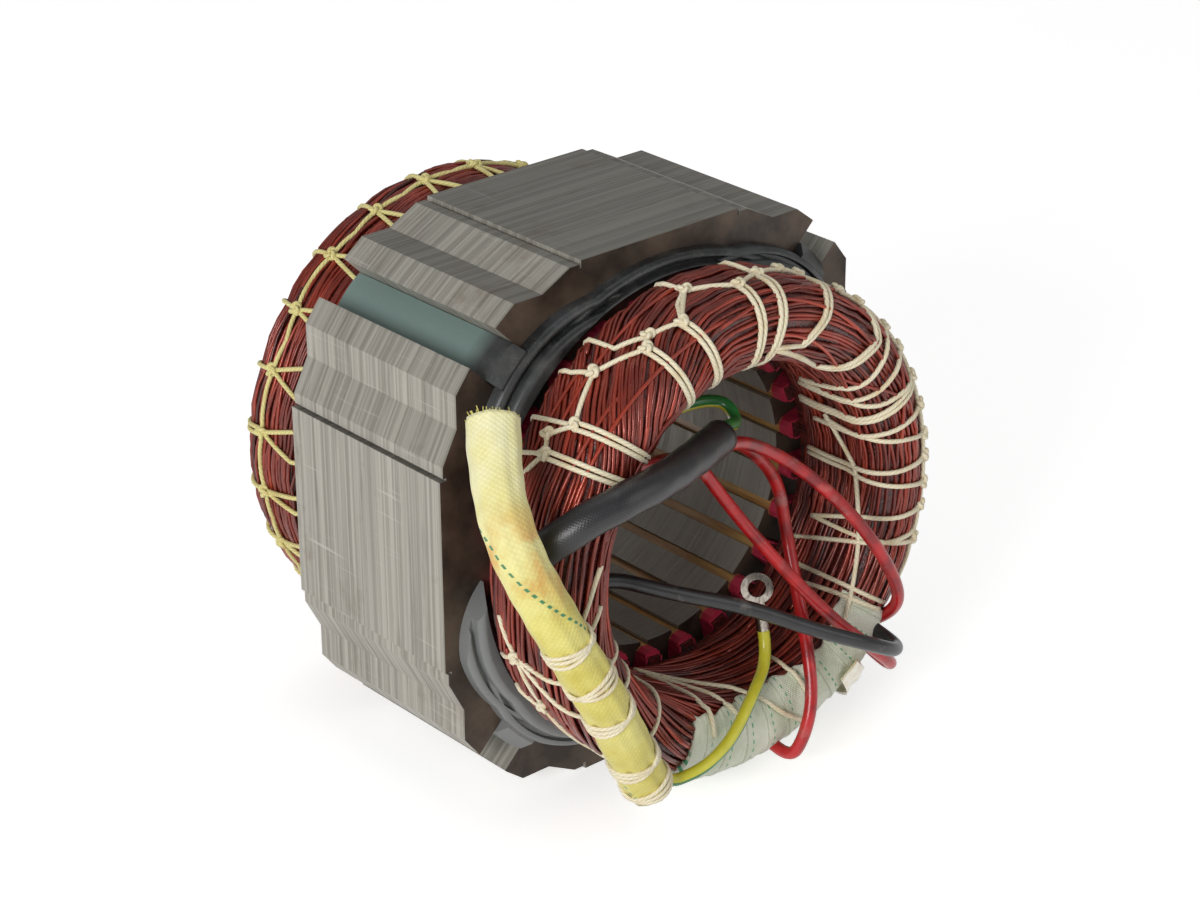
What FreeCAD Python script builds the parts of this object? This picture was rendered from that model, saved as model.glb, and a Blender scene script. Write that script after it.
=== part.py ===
"""Wound stator of a small single-phase generator, built as a parametric FreeCAD document.

The bore axis runs along Y through the middle of the lamination stack, the end with the leads
faces -Y, and the stack lies on the flat at the bottom of its square frame. All lengths are in mm.
"""
import FreeCAD, Part
import math
import os
import Sketcher

from FreeCAD import Placement, Rotation, Vector

DOC = FreeCAD.newDocument("wound_stator")

# ------------------------------------------------------------------------------------------------
# Driving dimensions
# ------------------------------------------------------------------------------------------------

SIZES = [
    # lamination stack
    ("frame_across", 160.0, "lamination, flat to flat"),
    ("stack_length", 67.0, "lamination stack, face to face"),
    ("main_flat", 58.5, "width of each of the four main flats"),
    ("groove_wide", 0.9, "weld groove beside a main flat, width"),
    ("groove_deep", 2.2, "weld groove's floor below the main flat"),
    ("ledge_drop", 1.1, "ledge beside the groove, below the main flat"),
    ("ledge_end", 33.4, "ledge's far edge from the flat's middle"),
    ("lobe_start", 43.2, "lobe flat's near edge from the flat's middle"),
    ("lobe_end", 53.0, "lobe flat's far edge"),
    ("lobe_drop", 6.2, "lobe flat below the main flat"),
    ("tip_side", 59.1, "lobe tip from the flat's middle"),
    ("tip_drop", 10.9, "lobe tip below the main flat"),
    ("channel_wide", 12.8, "corner channel for a through bolt, width"),
    ("channel_floor", 77.2, "corner channel's floor from the bore axis"),
    ("channel_round", 1.5, "rounding of the channel's floor corners"),
    ("bore_radius", 46.5, "stator bore"),
    ("slot_count", 24, "slots round the bore"),
    ("slot_opening", 2.8, "gap between tooth tips"),
    ("tip_lip", 1.1, "tooth tip's lip, radial"),
    ("tip_shoulder", 1.2, "slope behind the lip, radial"),
    ("tooth_wide", 6.8, "width of a tooth's parallel shank"),
    ("slot_bottom", 64.0, "slot bottom's radius"),
    ("slot_corner", 1.6, "slope at the slot's bottom corners"),
    # insulation in the slots
    ("fit_gap", 0.1, "clearance of what is slipped into a slot"),
    ("liner_wall", 0.5, "slot liner's thickness"),
    ("liner_cuff", 4.9, "slot liner standing out of each face"),
    ("wedge_deep", 1.9, "slot wedge, radial"),
    ("wedge_end", 4.0, "slot wedge standing out of each face"),
    # windings
    ("head_gap", 5.2, "stack face to the winding head"),
    ("head_inner", 51.5, "winding head's inner radius"),
    ("head_split", 57.0, "radius where the two windings meet"),
    ("split_gap", 0.2, "gap between the two windings"),
    ("head_foot", 62.5, "winding head's outer radius at its foot"),
    ("head_outer", 71.6, "winding head's largest radius"),
    ("head_swell", 12.0, "stack face to the head's largest radius"),
    ("front_head", 39.0, "front winding head, from the stack face"),
    ("rear_head", 38.5, "rear winding head, from the stack face"),
    ("head_round", 9.0, "rounding of the head's crest"),
    ("group_slots", 8, "slots in each of the main winding's two groups"),
    # guide ring
    ("ring_foot", 4.6, "guide ring's outer lip above the stack face"),
    ("ring_inner", 67.0, "guide ring's inner radius"),
    ("ring_side", 74.4, "guide ring's half width at the flats"),
    ("ring_reach", 79.7, "guide ring's reach at each leg"),
    ("ring_lobe", 45.0, "radius of the guide ring's lobes"),
    ("lip_round", 2.0, "rounding of the outer lip"),
    ("crown_inset", 3.6, "crown's outer wall inside the ring's edge"),
    ("crown_tall", 7.6, "crown above the stack face"),
    ("crown_round", 2.2, "rounding of the crown"),
    ("cone_top", 71.4, "inner cone's radius at the crown"),
    ("cone_foot", 1.2, "inner cone's foot above the stack face"),
    ("valley_wide", 1.3, "valley between lip and crown, width"),
    ("valley_deep", 1.3, "valley below the lip"),
    ("exit_from", 150.0, "lead exit through the ring, first angle"),
    ("exit_to", 184.0, "lead exit through the ring, last angle"),
    ("horn_lobe", 205.0, "lobe beside the lead exit, angle"),
    ("horn_turn", 18.0, "angle over which the ring's end is rounded off"),
    ("horn_round", 25.0, "radius of that rounding"),
    ("leg_gap", 0.2, "leg's clearance in its channel"),
    ("leg_back", 83.0, "leg's back from the bore axis, at its sides"),
    ("leg_crown", 0.7, "how far the leg's back bows out"),
    ("leg_front", 3.6, "leg's front end above the stack face"),
    ("leg_chamfer", 3.4, "chamfer on the leg's front end"),
    # lacing and bandage
    ("lace_wide", 2.2, "lacing tape, width"),
    ("lace_thick", 0.8, "lacing tape, thickness"),
    ("lace_gap", 0.1, "lacing off the winding"),
    ("chain_line", 26.0, "lacing's chain, from the stack face"),
    ("tape_wall", 1.3, "bandage over the joints, thickness"),
    ("tape_from", -113.0, "bandage, first angle"),
    ("tape_to", -38.0, "bandage, last angle"),
    ("tape_outer_foot", 13.0, "bandage's outer edge above the stack face"),
    ("tape_inner_foot", 20.0, "bandage's inner edge above the stack face"),
    ("tape_round", 10.0, "rounding of the bandage over the joints"),
    ("joint_bulge", 4.5, "how far the joints under the bandage stand out"),
    # leads and sleeves
    ("red_round", 3.8, "red lead's outside diameter"),
    ("black_round", 4.4, "black lead's outside diameter"),
    ("earth_round", 3.6, "earth lead's outside diameter"),
    ("black_sleeve_round", 10.2, "black sleeve's outside diameter"),
    ("black_sleeve_wall", 0.6, "black sleeve's wall"),
    ("yellow_sleeve_round", 14.0, "yellow sleeve's outside diameter"),
    ("yellow_sleeve_wall", 0.9, "yellow sleeve's wall"),
    ("tie_gap", 0.2, "lacing round the yellow sleeve, off the sleeve"),
    # ring terminal
    ("eye_round", 9.4, "ring terminal's outside diameter"),
    ("eye_hole", 5.3, "ring terminal's hole"),
    ("eye_thick", 1.0, "ring terminal's plate"),
    ("barrel_long", 5.5, "ring terminal's barrel, length"),
    ("barrel_round", 4.0, "ring terminal's barrel, diameter"),
    ("neck_long", 2.6, "neck between plate and barrel, length"),
    ("neck_wide", 3.0, "neck, width"),
]

sheet = DOC.addObject("Spreadsheet::Sheet", "Sizes")
for row, (alias, value, note) in enumerate(SIZES, start=1):
    sheet.set("A%d" % row, note)
    sheet.set("B%d" % row, str(value))
    sheet.setAlias("B%d" % row, alias)
DOC.recompute()


def size(alias):
    """The number in the sheet's cell of that name."""
    return float(sheet.get(alias))


def number(expression):
    """What an expression on the sheet's names comes to."""
    result = sheet.evalExpression(expression)
    return float(getattr(result, "Value", result))


# ------------------------------------------------------------------------------------------------
# Helpers for bodies and sketches
# ------------------------------------------------------------------------------------------------


def new_body(label):
    body = DOC.addObject("PartDesign::Body", label)
    body.Label = label
    body.AllowCompound = True
    return body


def datum(body, role):
    """One of the body's own origin planes or axes."""
    for feature in body.Origin.OriginFeatures:
        if feature.Role == role:
            return feature
    raise ValueError(role)


def new_sketch(body, role, turn=None, lift=None):
    """A sketch on one of the body's origin planes, turned and lifted by expressions."""
    sketch = body.newObject("Sketcher::SketchObject", body.Label + "_sketch")
    sketch.AttachmentSupport = [(datum(body, role), "")]
    sketch.MapMode = "FlatFace"
    if turn is not None:
        sketch.setExpression(".AttachmentOffset.Rotation.Angle", turn)
    if lift is not None:
        sketch.setExpression(".AttachmentOffset.Base.z", lift)
    return sketch


def pin(sketch, kind, geo, pos, expression):
    """Ties one coordinate of a sketch point to an expression."""
    value = number(expression)
    if abs(value) < 1e-9:
        axis = -2 if kind == "DistanceX" else -1
        sketch.addConstraint(Sketcher.Constraint("PointOnObject", geo, pos, axis))
        return
    if value > 0:
        constraint = Sketcher.Constraint(kind, -1, 1, geo, pos, value)
        text = expression
    else:
        constraint = Sketcher.Constraint(kind, geo, pos, -1, 1, -value)
        text = "-(%s)" % expression
    index = sketch.addConstraint(constraint)
    sketch.setExpression("Constraints[%d]" % index, text)


def outline(sketch, corners):
    """A closed line of straight and curved edges through corners given as expressions.

    A corner is (x, y), or (x, y, radius) where the edge that leaves it is an arc. The arc's
    centre lies to the left of the way round, or to the right where the radius is led by "-".
    """
    ends = []
    count = len(corners)
    points = [Vector(number(c[0]), number(c[1]), 0) for c in corners]
    for i, corner in enumerate(corners):
        a = points[i]
        b = points[(i + 1) % count]
        if len(corner) == 2:
            geo = sketch.addGeometry(Part.LineSegment(a, b), False)
            ends.append((geo, 1, 2))
            continue
        text = corner[2]
        right = text.startswith("-")
        text = text.lstrip("-")
        radius = number(text)
        half = (b - a) * 0.5
        rise = math.sqrt(max(radius ** 2 - half.Length ** 2, 0.0))
        side = Vector(-half.y, half.x, 0).normalize() * (-rise if right else rise)
        centre = a + half + side
        first, last = (b, a) if right else (a, b)
        start = math.atan2(first.y - centre.y, first.x - centre.x)
        stop = math.atan2(last.y - centre.y, last.x - centre.x)
        circle = Part.Circle(centre, Vector(0, 0, 1), radius)
        geo = sketch.addGeometry(Part.ArcOfCircle(circle, start, stop), False)
        ends.append((geo, 2, 1) if right else (geo, 1, 2))
        index = sketch.addConstraint(Sketcher.Constraint("Radius", geo, radius))
        sketch.setExpression("Constraints[%d]" % index, text)
    for i in range(count):
        geo, start, stop = ends[i]
        following = ends[(i + 1) % count]
        sketch.addConstraint(Sketcher.Constraint("Coincident", geo, stop, following[0], following[1]))
    for i, corner in enumerate(corners):
        geo, start, stop = ends[i]
        pin(sketch, "DistanceX", geo, start, corner[0])
        pin(sketch, "DistanceY", geo, start, corner[1])


def circle(sketch, radius, x="0", y="0"):
    """A circle given by expressions for its radius and its centre."""
    centre = Vector(number(x), number(y), 0)
    geo = sketch.addGeometry(Part.Circle(centre, Vector(0, 0, 1), number(radius)), False)
    index = sketch.addConstraint(Sketcher.Constraint("Radius", geo, number(radius)))
    sketch.setExpression("Constraints[%d]" % index, radius)
    if x == "0" and y == "0":
        sketch.addConstraint(Sketcher.Constraint("Coincident", geo, 3, -1, 1))
    else:
        pin(sketch, "DistanceX", geo, 3, x)
        pin(sketch, "DistanceY", geo, 3, y)


def pad(body, sketch, length, midplane=True):
    feature = body.newObject("PartDesign::Pad", body.Label + "_pad")
    feature.Profile = sketch
    feature.setExpression("Length", length)
    feature.Midplane = midplane
    body.Tip = feature
    return feature


def pocket(body, sketch, length, midplane=True, reverse=False):
    feature = body.newObject("PartDesign::Pocket", body.Label + "_pocket")
    feature.Profile = sketch
    feature.setExpression("Length", length)
    feature.Midplane = midplane
    feature.Reversed = reverse
    body.Tip = feature
    return feature


def turned(body, sketch, kind="Revolution", angle="360", midplane=False):
    """A revolution or groove about the bore axis."""
    feature = body.newObject("PartDesign::" + kind, body.Label + "_turned")
    feature.Profile = sketch
    feature.ReferenceAxis = (datum(body, "Y_Axis"), [""])
    feature.setExpression("Angle", angle)
    feature.Midplane = midplane
    body.Tip = feature
    return feature


def ring_of(body, feature, occurrences, angle="360"):
    """Copies of a feature round the bore axis."""
    pattern = body.newObject("PartDesign::PolarPattern", body.Label + "_round")
    pattern.Originals = [feature]
    pattern.Axis = (datum(body, "Y_Axis"), [""])
    pattern.setExpression("Angle", angle)
    pattern.setExpression("Occurrences", occurrences)
    body.Tip = pattern
    return pattern


# Expressions that several parts share
HALF = "Sizes.frame_across / 2"
FACE = "Sizes.stack_length / 2"
PITCH = "360 / Sizes.slot_count"
LEAN = "180 / Sizes.slot_count"
WEDGE_BACK = "Sizes.bore_radius + Sizes.tip_lip + Sizes.fit_gap + Sizes.wedge_deep"


def slot_half(radius, inset):
    """Half the width of a slot at a radius, less an inset from each flank."""
    flank = "(%s) * tan(%s)" % (radius, LEAN)
    return "%s - (Sizes.tooth_wide / 2 + %s) / cos(%s)" % (flank, inset, LEAN)


# ------------------------------------------------------------------------------------------------
# Lamination stack
# ------------------------------------------------------------------------------------------------

stack = new_body("lamination_stack")

blank = new_sketch(stack, "XZ_Plane")
outline(blank, [
    ("-" + HALF, "-" + HALF),
    (HALF, "-" + HALF),
    (HALF, HALF),
    ("-" + HALF, HALF),
])
pad(stack, blank, "Sizes.stack_length")

# One corner of the square is cut back to the ledge, the lobe flat and the lobe's tip.
LEDGE_SIDE = "Sizes.main_flat / 2 + Sizes.groove_wide"
steps = [
    ("Sizes.main_flat / 2", "Sizes.groove_deep"),
    (LEDGE_SIDE, "Sizes.groove_deep"),
    (LEDGE_SIDE, "Sizes.ledge_drop"),
    ("Sizes.ledge_end", "Sizes.ledge_drop"),
    ("Sizes.lobe_start", "Sizes.lobe_drop"),
    ("Sizes.lobe_end", "Sizes.lobe_drop"),
    ("Sizes.tip_side", "Sizes.tip_drop"),
]
BEYOND = HALF + " + 2"
corner_cut = [("Sizes.main_flat / 2", BEYOND)]
corner_cut += [(across, "%s - %s" % (HALF, drop)) for across, drop in steps]
corner_cut += [("%s - %s" % (HALF, drop), across) for across, drop in reversed(steps)]
corner_cut += [(BEYOND, "Sizes.main_flat / 2"), (BEYOND, BEYOND)]
corner = new_sketch(stack, "XZ_Plane")
outline(corner, corner_cut)
ring_of(stack, pocket(stack, corner, "Sizes.stack_length + 2"), "4")

# The channel for a through bolt runs along each corner, with a rounded floor.
CHANNEL_SIDE = "Sizes.channel_wide / 2"
channel = new_sketch(stack, "XZ_Plane", turn="45")
outline(channel, [
    ("Sizes.channel_floor", "-(%s) + Sizes.channel_round" % CHANNEL_SIDE),
    ("Sizes.channel_floor", "%s - Sizes.channel_round" % CHANNEL_SIDE, "-Sizes.channel_round"),
    ("Sizes.channel_floor + Sizes.channel_round", CHANNEL_SIDE),
    ("Sizes.frame_across * 0.7", CHANNEL_SIDE),
    ("Sizes.frame_across * 0.7", "-(%s)" % CHANNEL_SIDE),
    ("Sizes.channel_floor + Sizes.channel_round", "-(%s)" % CHANNEL_SIDE, "-Sizes.channel_round"),
])
ring_of(stack, pocket(stack, channel, "Sizes.stack_length + 2"), "4")

bore = new_sketch(stack, "XZ_Plane")
circle(bore, "Sizes.bore_radius")
pocket(stack, bore, "Sizes.stack_length + 2")

LIP_BACK = "Sizes.bore_radius + Sizes.tip_lip"
SHOULDER = LIP_BACK + " + Sizes.tip_shoulder"
CORNER_AT = "Sizes.slot_bottom - Sizes.slot_corner"
OPENING = "Sizes.slot_opening / 2"
slot = new_sketch(stack, "XZ_Plane", turn=LEAN)
outline(slot, [
    ("Sizes.bore_radius - 2", "-" + OPENING),
    (LIP_BACK, "-" + OPENING),
    (SHOULDER, "-(%s)" % slot_half(SHOULDER, "0")),
    (CORNER_AT, "-(%s)" % slot_half(CORNER_AT, "0")),
    ("Sizes.slot_bottom", "-(%s - Sizes.slot_corner)" % slot_half("Sizes.slot_bottom", "0")),
    ("Sizes.slot_bottom", "%s - Sizes.slot_corner" % slot_half("Sizes.slot_bottom", "0")),
    (CORNER_AT, slot_half(CORNER_AT, "0")),
    (SHOULDER, slot_half(SHOULDER, "0")),
    (LIP_BACK, OPENING),
    ("Sizes.bore_radius - 2", OPENING),
])
ring_of(stack, pocket(stack, slot, "Sizes.stack_length + 2"), "Sizes.slot_count")

# ------------------------------------------------------------------------------------------------
# Slot liners and slot wedges
# ------------------------------------------------------------------------------------------------

LINER_TOP = WEDGE_BACK + " + Sizes.fit_gap"


def slot_side(gap):
    """Corners of one flank of a slot's filling, from the bore outward, set in by a gap."""
    bottom = "Sizes.slot_bottom - (%s)" % gap
    near = bottom + " - Sizes.slot_corner"
    return [
        (LINER_TOP, slot_half(LINER_TOP, gap)),
        (near, slot_half(near, gap)),
        (bottom, slot_half(bottom, gap) + " - Sizes.slot_corner"),
    ]


def mirrored(points):
    """The same corners on the slot's other flank, in the opposite order."""
    return [(along, "-(%s)" % across) for along, across in reversed(points)]


liners = new_body("slot_liners")
outside = slot_side("Sizes.fit_gap")
inside = slot_side("Sizes.fit_gap + Sizes.liner_wall")
liner = new_sketch(liners, "XZ_Plane", turn=LEAN)
outline(liner, outside + mirrored(outside) + mirrored(inside)[::-1] + inside[::-1])
ring_of(liners, pad(liners, liner, "Sizes.stack_length + 2 * Sizes.liner_cuff"), "Sizes.slot_count")

wedges = new_body("slot_wedges")
WEDGE_TOP = LIP_BACK + " + Sizes.fit_gap"
WEDGE_KNEE = SHOULDER + " + Sizes.fit_gap"
flank = [
    (WEDGE_TOP, OPENING + " - Sizes.fit_gap"),
    (WEDGE_KNEE, slot_half(SHOULDER, "2 * Sizes.fit_gap")),
    (WEDGE_BACK, slot_half(WEDGE_BACK, "3 * Sizes.fit_gap")),
]
wedge = new_sketch(wedges, "XZ_Plane", turn=LEAN)
outline(wedge, flank + mirrored(flank))
ring_of(wedges, pad(wedges, wedge, "Sizes.stack_length + 2 * Sizes.wedge_end"), "Sizes.slot_count")

# ------------------------------------------------------------------------------------------------
# Windings: two heads each, joined by the bars in the slots
# ------------------------------------------------------------------------------------------------

FRONT = "Sizes.front_head"
REAR = "Sizes.rear_head"
BAR_GAP = "2 * Sizes.fit_gap + Sizes.liner_wall"
FLARE = "(Sizes.head_outer - Sizes.head_foot)"
CLIMB = "(Sizes.head_swell - Sizes.head_gap)"
SLANT = "sqrt(%s^2 + %s^2)" % (FLARE, CLIMB)


def off_face(side, height):
    """Where a height above the front face (-1) or the rear face (1) lies along the axis."""
    text = "%s + %s" % (FACE, height)
    return text if side > 0 else "-(%s)" % text


def crest_at(head, radius):
    """Height of the head's rounded inner edge at a radius."""
    run = "Sizes.head_inner + Sizes.head_round - (%s)" % radius
    return "%s - Sizes.head_round + sqrt(Sizes.head_round^2 - (%s)^2)" % (head, run)


def outer_half(side, head, off="0"):
    """Corners of the head's section from its foot round the outside to the crest."""
    return [
        ("Sizes.head_foot + (%s) * %s / (%s + %s)" % (off, CLIMB, SLANT, FLARE),
         off_face(side, "Sizes.head_gap - (%s)" % off)),
        ("Sizes.head_outer + (%s)" % off,
         off_face(side, "Sizes.head_swell - (%s) * %s / (%s + %s)" % (off, FLARE, SLANT, CLIMB))),
        ("Sizes.head_outer + (%s)" % off,
         off_face(side, "%s - Sizes.head_round" % head),
         ("-" if side < 0 else "") + "Sizes.head_round + (%s)" % off),
        ("Sizes.head_outer - Sizes.head_round", off_face(side, "%s + (%s)" % (head, off))),
    ]


def bars(body, first, groups, count, neck_from, neck_to):
    """The bars of a winding in its slots, with the necks that join them to the heads."""
    fill = slot_side(BAR_GAP)
    for group in range(groups):
        turn = "%s + %s * (%s)" % (first, group, "360 / %d" % groups)
        bar = new_sketch(body, "XZ_Plane", turn=turn)
        outline(bar, fill + mirrored(fill))
        length = "Sizes.stack_length + 2 * (Sizes.head_gap - Sizes.split_gap)"
        span = "%s * (%s - 1)" % (PITCH, count)
        ring_of(body, pad(body, bar, length), count, span).Reversed = True
        neck = new_sketch(body, "XZ_Plane", turn=turn)
        sides = [(neck_from, slot_half(neck_from, BAR_GAP)), (neck_to, slot_half(neck_to, BAR_GAP))]
        outline(neck, sides + mirrored(sides))
        length = "Sizes.stack_length + 2 * (Sizes.head_gap + Sizes.split_gap)"
        ring_of(body, pad(body, neck, length), count, span).Reversed = True


main = new_body("main_winding")
for side, head in ((-1, FRONT), (1, REAR)):
    section = outer_half(side, head)
    arc = ("-" if side < 0 else "") + "Sizes.head_round"
    section.append(("Sizes.head_inner + Sizes.head_round", off_face(side, head), arc))
    section.append(("Sizes.head_split", off_face(side, crest_at(head, "Sizes.head_split"))))
    section.append(("Sizes.head_split", off_face(side, "Sizes.head_gap")))
    half = new_sketch(main, "XY_Plane")
    outline(half, section)
    turned(main, half)
FIRST_MAIN = "%s - %s * Sizes.group_slots / 2" % (LEAN, PITCH)
NECK_OUTER = "Sizes.slot_bottom - Sizes.slot_corner - (%s)" % BAR_GAP
bars(main, FIRST_MAIN, 2, "Sizes.group_slots", "Sizes.head_split", NECK_OUTER)

auxiliary = new_body("auxiliary_winding")
AUX_OUTER = "Sizes.head_split - Sizes.split_gap"
for side, head in ((-1, FRONT), (1, REAR)):
    arc = ("-" if side < 0 else "") + "Sizes.head_round"
    half = new_sketch(auxiliary, "XY_Plane")
    outline(half, [
        ("Sizes.head_inner", off_face(side, "Sizes.head_gap")),
        (AUX_OUTER, off_face(side, "Sizes.head_gap")),
        (AUX_OUTER, off_face(side, crest_at(head, AUX_OUTER)), arc),
        ("Sizes.head_inner", off_face(side, "%s - Sizes.head_round" % head)),
    ])
    turned(auxiliary, half)
AUX_COUNT = "Sizes.slot_count / 2 - Sizes.group_slots"
FIRST_AUX = "%s + %s * Sizes.group_slots / 2" % (LEAN, PITCH)
bars(auxiliary, FIRST_AUX, 2, AUX_COUNT, "Sizes.head_inner + Sizes.fit_gap", AUX_OUTER)

# ------------------------------------------------------------------------------------------------
# Guide ring: a lobed lip and crown on the front face, with four legs in the corner channels
# ------------------------------------------------------------------------------------------------

guide = new_body("guide_ring")
LOBE_AT = "Sizes.ring_reach - Sizes.ring_lobe"


def band(radius):
    """Half section of the lip, the valley and the crown, drawn inward from a radius."""
    lip_end = "%s - Sizes.lip_round" % radius
    crown_wall = "%s - Sizes.crown_inset" % radius
    valley = "Sizes.ring_foot - Sizes.valley_deep"
    return [
        ("0", off_face(-1, "0")),
        (radius, off_face(-1, "0")),
        (radius, off_face(-1, "Sizes.ring_foot - Sizes.lip_round"), "-Sizes.lip_round"),
        (lip_end, off_face(-1, "Sizes.ring_foot")),
        ("%s - Sizes.valley_wide * 0.4" % lip_end, off_face(-1, valley)),
        (crown_wall, off_face(-1, valley)),
        (crown_wall, off_face(-1, "Sizes.crown_tall - Sizes.crown_round"), "-Sizes.crown_round"),
        ("%s - Sizes.crown_round" % crown_wall, off_face(-1, "Sizes.crown_tall")),
        ("0", off_face(-1, "Sizes.crown_tall")),
    ]


def lobe(angle):
    """One lobe of the ring, turned about its own axis parallel to the bore."""
    half = new_sketch(guide, "XY_Plane")
    half.AttachmentOffset = Placement(Vector(), Rotation(Vector(0, 1, 0), -45))
    half.setExpression(".AttachmentOffset.Rotation.Angle", "-(%s)" % angle)
    half.setExpression(".AttachmentOffset.Base.x", "(%s) * cos(%s)" % (LOBE_AT, angle))
    half.setExpression(".AttachmentOffset.Base.z", "(%s) * sin(%s)" % (LOBE_AT, angle))
    outline(half, band("Sizes.ring_lobe"))
    feature = turned(guide, half)
    feature.ReferenceAxis = (half, ["V_Axis"])
    return feature


half = new_sketch(guide, "XY_Plane")
outline(half, band("Sizes.ring_side"))
turned(guide, half)
ring_of(guide, lobe("45"), "4")
lobe("Sizes.horn_lobe")

# The inner face is a cone that widens away from the stack.
cone = new_sketch(guide, "XY_Plane")
outline(cone, [
    ("0", off_face(-1, "-1")),
    ("Sizes.ring_inner", off_face(-1, "-1")),
    ("Sizes.ring_inner", off_face(-1, "Sizes.cone_foot")),
    ("Sizes.cone_top", off_face(-1, "Sizes.crown_tall")),
    ("Sizes.cone_top", off_face(-1, "Sizes.crown_tall + 1")),
    ("0", off_face(-1, "Sizes.crown_tall + 1")),
])
turned(guide, cone, "Groove")


def polar(radius, angle):
    return "(%s) * cos(%s)" % (radius, angle), "(%s) * sin(%s)" % (radius, angle)


# The leads leave through a gap, and the ring's end there is rounded like a horn.
HORN_END = "Sizes.exit_to + Sizes.horn_turn"
leaving = new_sketch(guide, "XZ_Plane", lift="%s + Sizes.crown_tall + 1" % FACE)
outline(leaving, [
    polar("Sizes.ring_inner - 5", "Sizes.exit_from"),
    polar("Sizes.ring_reach + 20", "Sizes.exit_from"),
    polar("Sizes.ring_reach + 20", HORN_END),
    polar("Sizes.ring_reach + 0.2", HORN_END) + ("-Sizes.horn_round",),
    polar("Sizes.ring_inner", "Sizes.exit_to"),
    polar("Sizes.ring_inner - 5", "Sizes.exit_to"),
])
pocket(guide, leaving, "Sizes.crown_tall + 2", midplane=False)

LEG_SIDE = "Sizes.channel_wide / 2 - Sizes.leg_gap"
LEG_ROUND = "((%s)^2 + Sizes.leg_crown^2) / (2 * Sizes.leg_crown)" % LEG_SIDE
leg = new_sketch(guide, "XZ_Plane", turn="45", lift="-(%s)" % FACE)
LEG_FLOOR = "Sizes.channel_floor + Sizes.leg_gap"
outline(leg, [
    (LEG_FLOOR + " + Sizes.channel_round", "-(%s)" % LEG_SIDE),
    ("Sizes.leg_back", "-(%s)" % LEG_SIDE, LEG_ROUND),
    ("Sizes.leg_back", LEG_SIDE),
    (LEG_FLOOR + " + Sizes.channel_round", LEG_SIDE),
    (LEG_FLOOR, LEG_SIDE + " - Sizes.channel_round"),
    (LEG_FLOOR, "-(%s - Sizes.channel_round)" % LEG_SIDE),
])
ring_of(guide, pad(guide, leg, "Sizes.stack_length + Sizes.leg_front", midplane=False), "4")

LEG_TIP = "Sizes.leg_back + Sizes.leg_crown"
LEG_RISE = "Sizes.leg_front - Sizes.leg_chamfer"
chamfer = new_sketch(guide, "XY_Plane")
outline(chamfer, [
    (LEG_TIP + " + 1", off_face(-1, LEG_RISE + " - 1")),
    (LEG_TIP + " + 1", off_face(-1, "Sizes.leg_front + 1")),
    (LEG_TIP + " - Sizes.leg_chamfer - 1", off_face(-1, "Sizes.leg_front + 1")),
])
turned(guide, chamfer, "Groove")

# ------------------------------------------------------------------------------------------------
# Lacing: one loop round each head on every tooth line, tied by a chain
# ------------------------------------------------------------------------------------------------

LOOP_ANGLE = "Sizes.lace_wide / Sizes.head_outer * 180 / pi"
LACE_IN = "Sizes.lace_gap"
LACE_OUT = "Sizes.lace_gap + Sizes.lace_thick"


def whole_section(side, head, off):
    """The whole head's section, set out by an expression."""
    arc = ("-" if side < 0 else "") + "Sizes.head_round + (%s)" % off
    return outer_half(side, head, off) + [
        ("Sizes.head_inner + Sizes.head_round", off_face(side, "%s + (%s)" % (head, off)), arc),
        ("Sizes.head_inner - (%s)" % off, off_face(side, "%s - Sizes.head_round" % head)),
        ("Sizes.head_inner - (%s)" % off, off_face(side, "Sizes.head_gap - (%s)" % off)),
    ]


def upright(body, angle):
    """A sketch on the half plane that holds the bore axis at an angle round it."""
    sketch = new_sketch(body, "XY_Plane")
    sketch.AttachmentOffset = Placement(Vector(), Rotation(Vector(0, 1, 0), -45))
    sketch.setExpression(".AttachmentOffset.Rotation.Angle", "-(%s)" % angle)
    return sketch


def lacing(label, side, head, first, count, chain_middle, chain_angle):
    body = new_body(label)
    loop = upright(body, first)
    outline(loop, whole_section(side, head, LACE_OUT))
    outline(loop, whole_section(side, head, LACE_IN))
    strand = turned(body, loop, angle=LOOP_ANGLE, midplane=True)
    span = "%s * (%s - 1)" % (PITCH, count)
    ring_of(body, strand, count, span).Reversed = True
    chain = upright(body, chain_middle)
    near = off_face(side, "Sizes.chain_line - Sizes.lace_wide / 2")
    far = off_face(side, "Sizes.chain_line + Sizes.lace_wide / 2")
    inner = "Sizes.head_outer + %s" % LACE_IN
    outer = "Sizes.head_outer + %s + Sizes.lace_gap" % LACE_OUT
    outline(chain, [(inner, near), (outer, near), (outer, far), (inner, far)])
    turned(body, chain, angle=chain_angle, midplane=True)
    return body


# The front loops stop short of the bandage.
FIRST_TOOTH = "ceil((Sizes.tape_to + 5) / (%s))" % PITCH
LAST_TOOTH = "floor((Sizes.tape_from + 355) / (%s))" % PITCH
lacing("front_lacing", -1, FRONT, "%s * (%s)" % (FIRST_TOOTH, PITCH),
       "%s - %s + 1" % (LAST_TOOTH, FIRST_TOOTH),
       "(Sizes.tape_from + Sizes.tape_to) / 2 + 180", "356 - (Sizes.tape_to - Sizes.tape_from)")
lacing("rear_lacing", 1, REAR, "0", "Sizes.slot_count", "0", "360")

# ------------------------------------------------------------------------------------------------
# Bandage over the joints at the front head's lower right
# ------------------------------------------------------------------------------------------------

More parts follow.
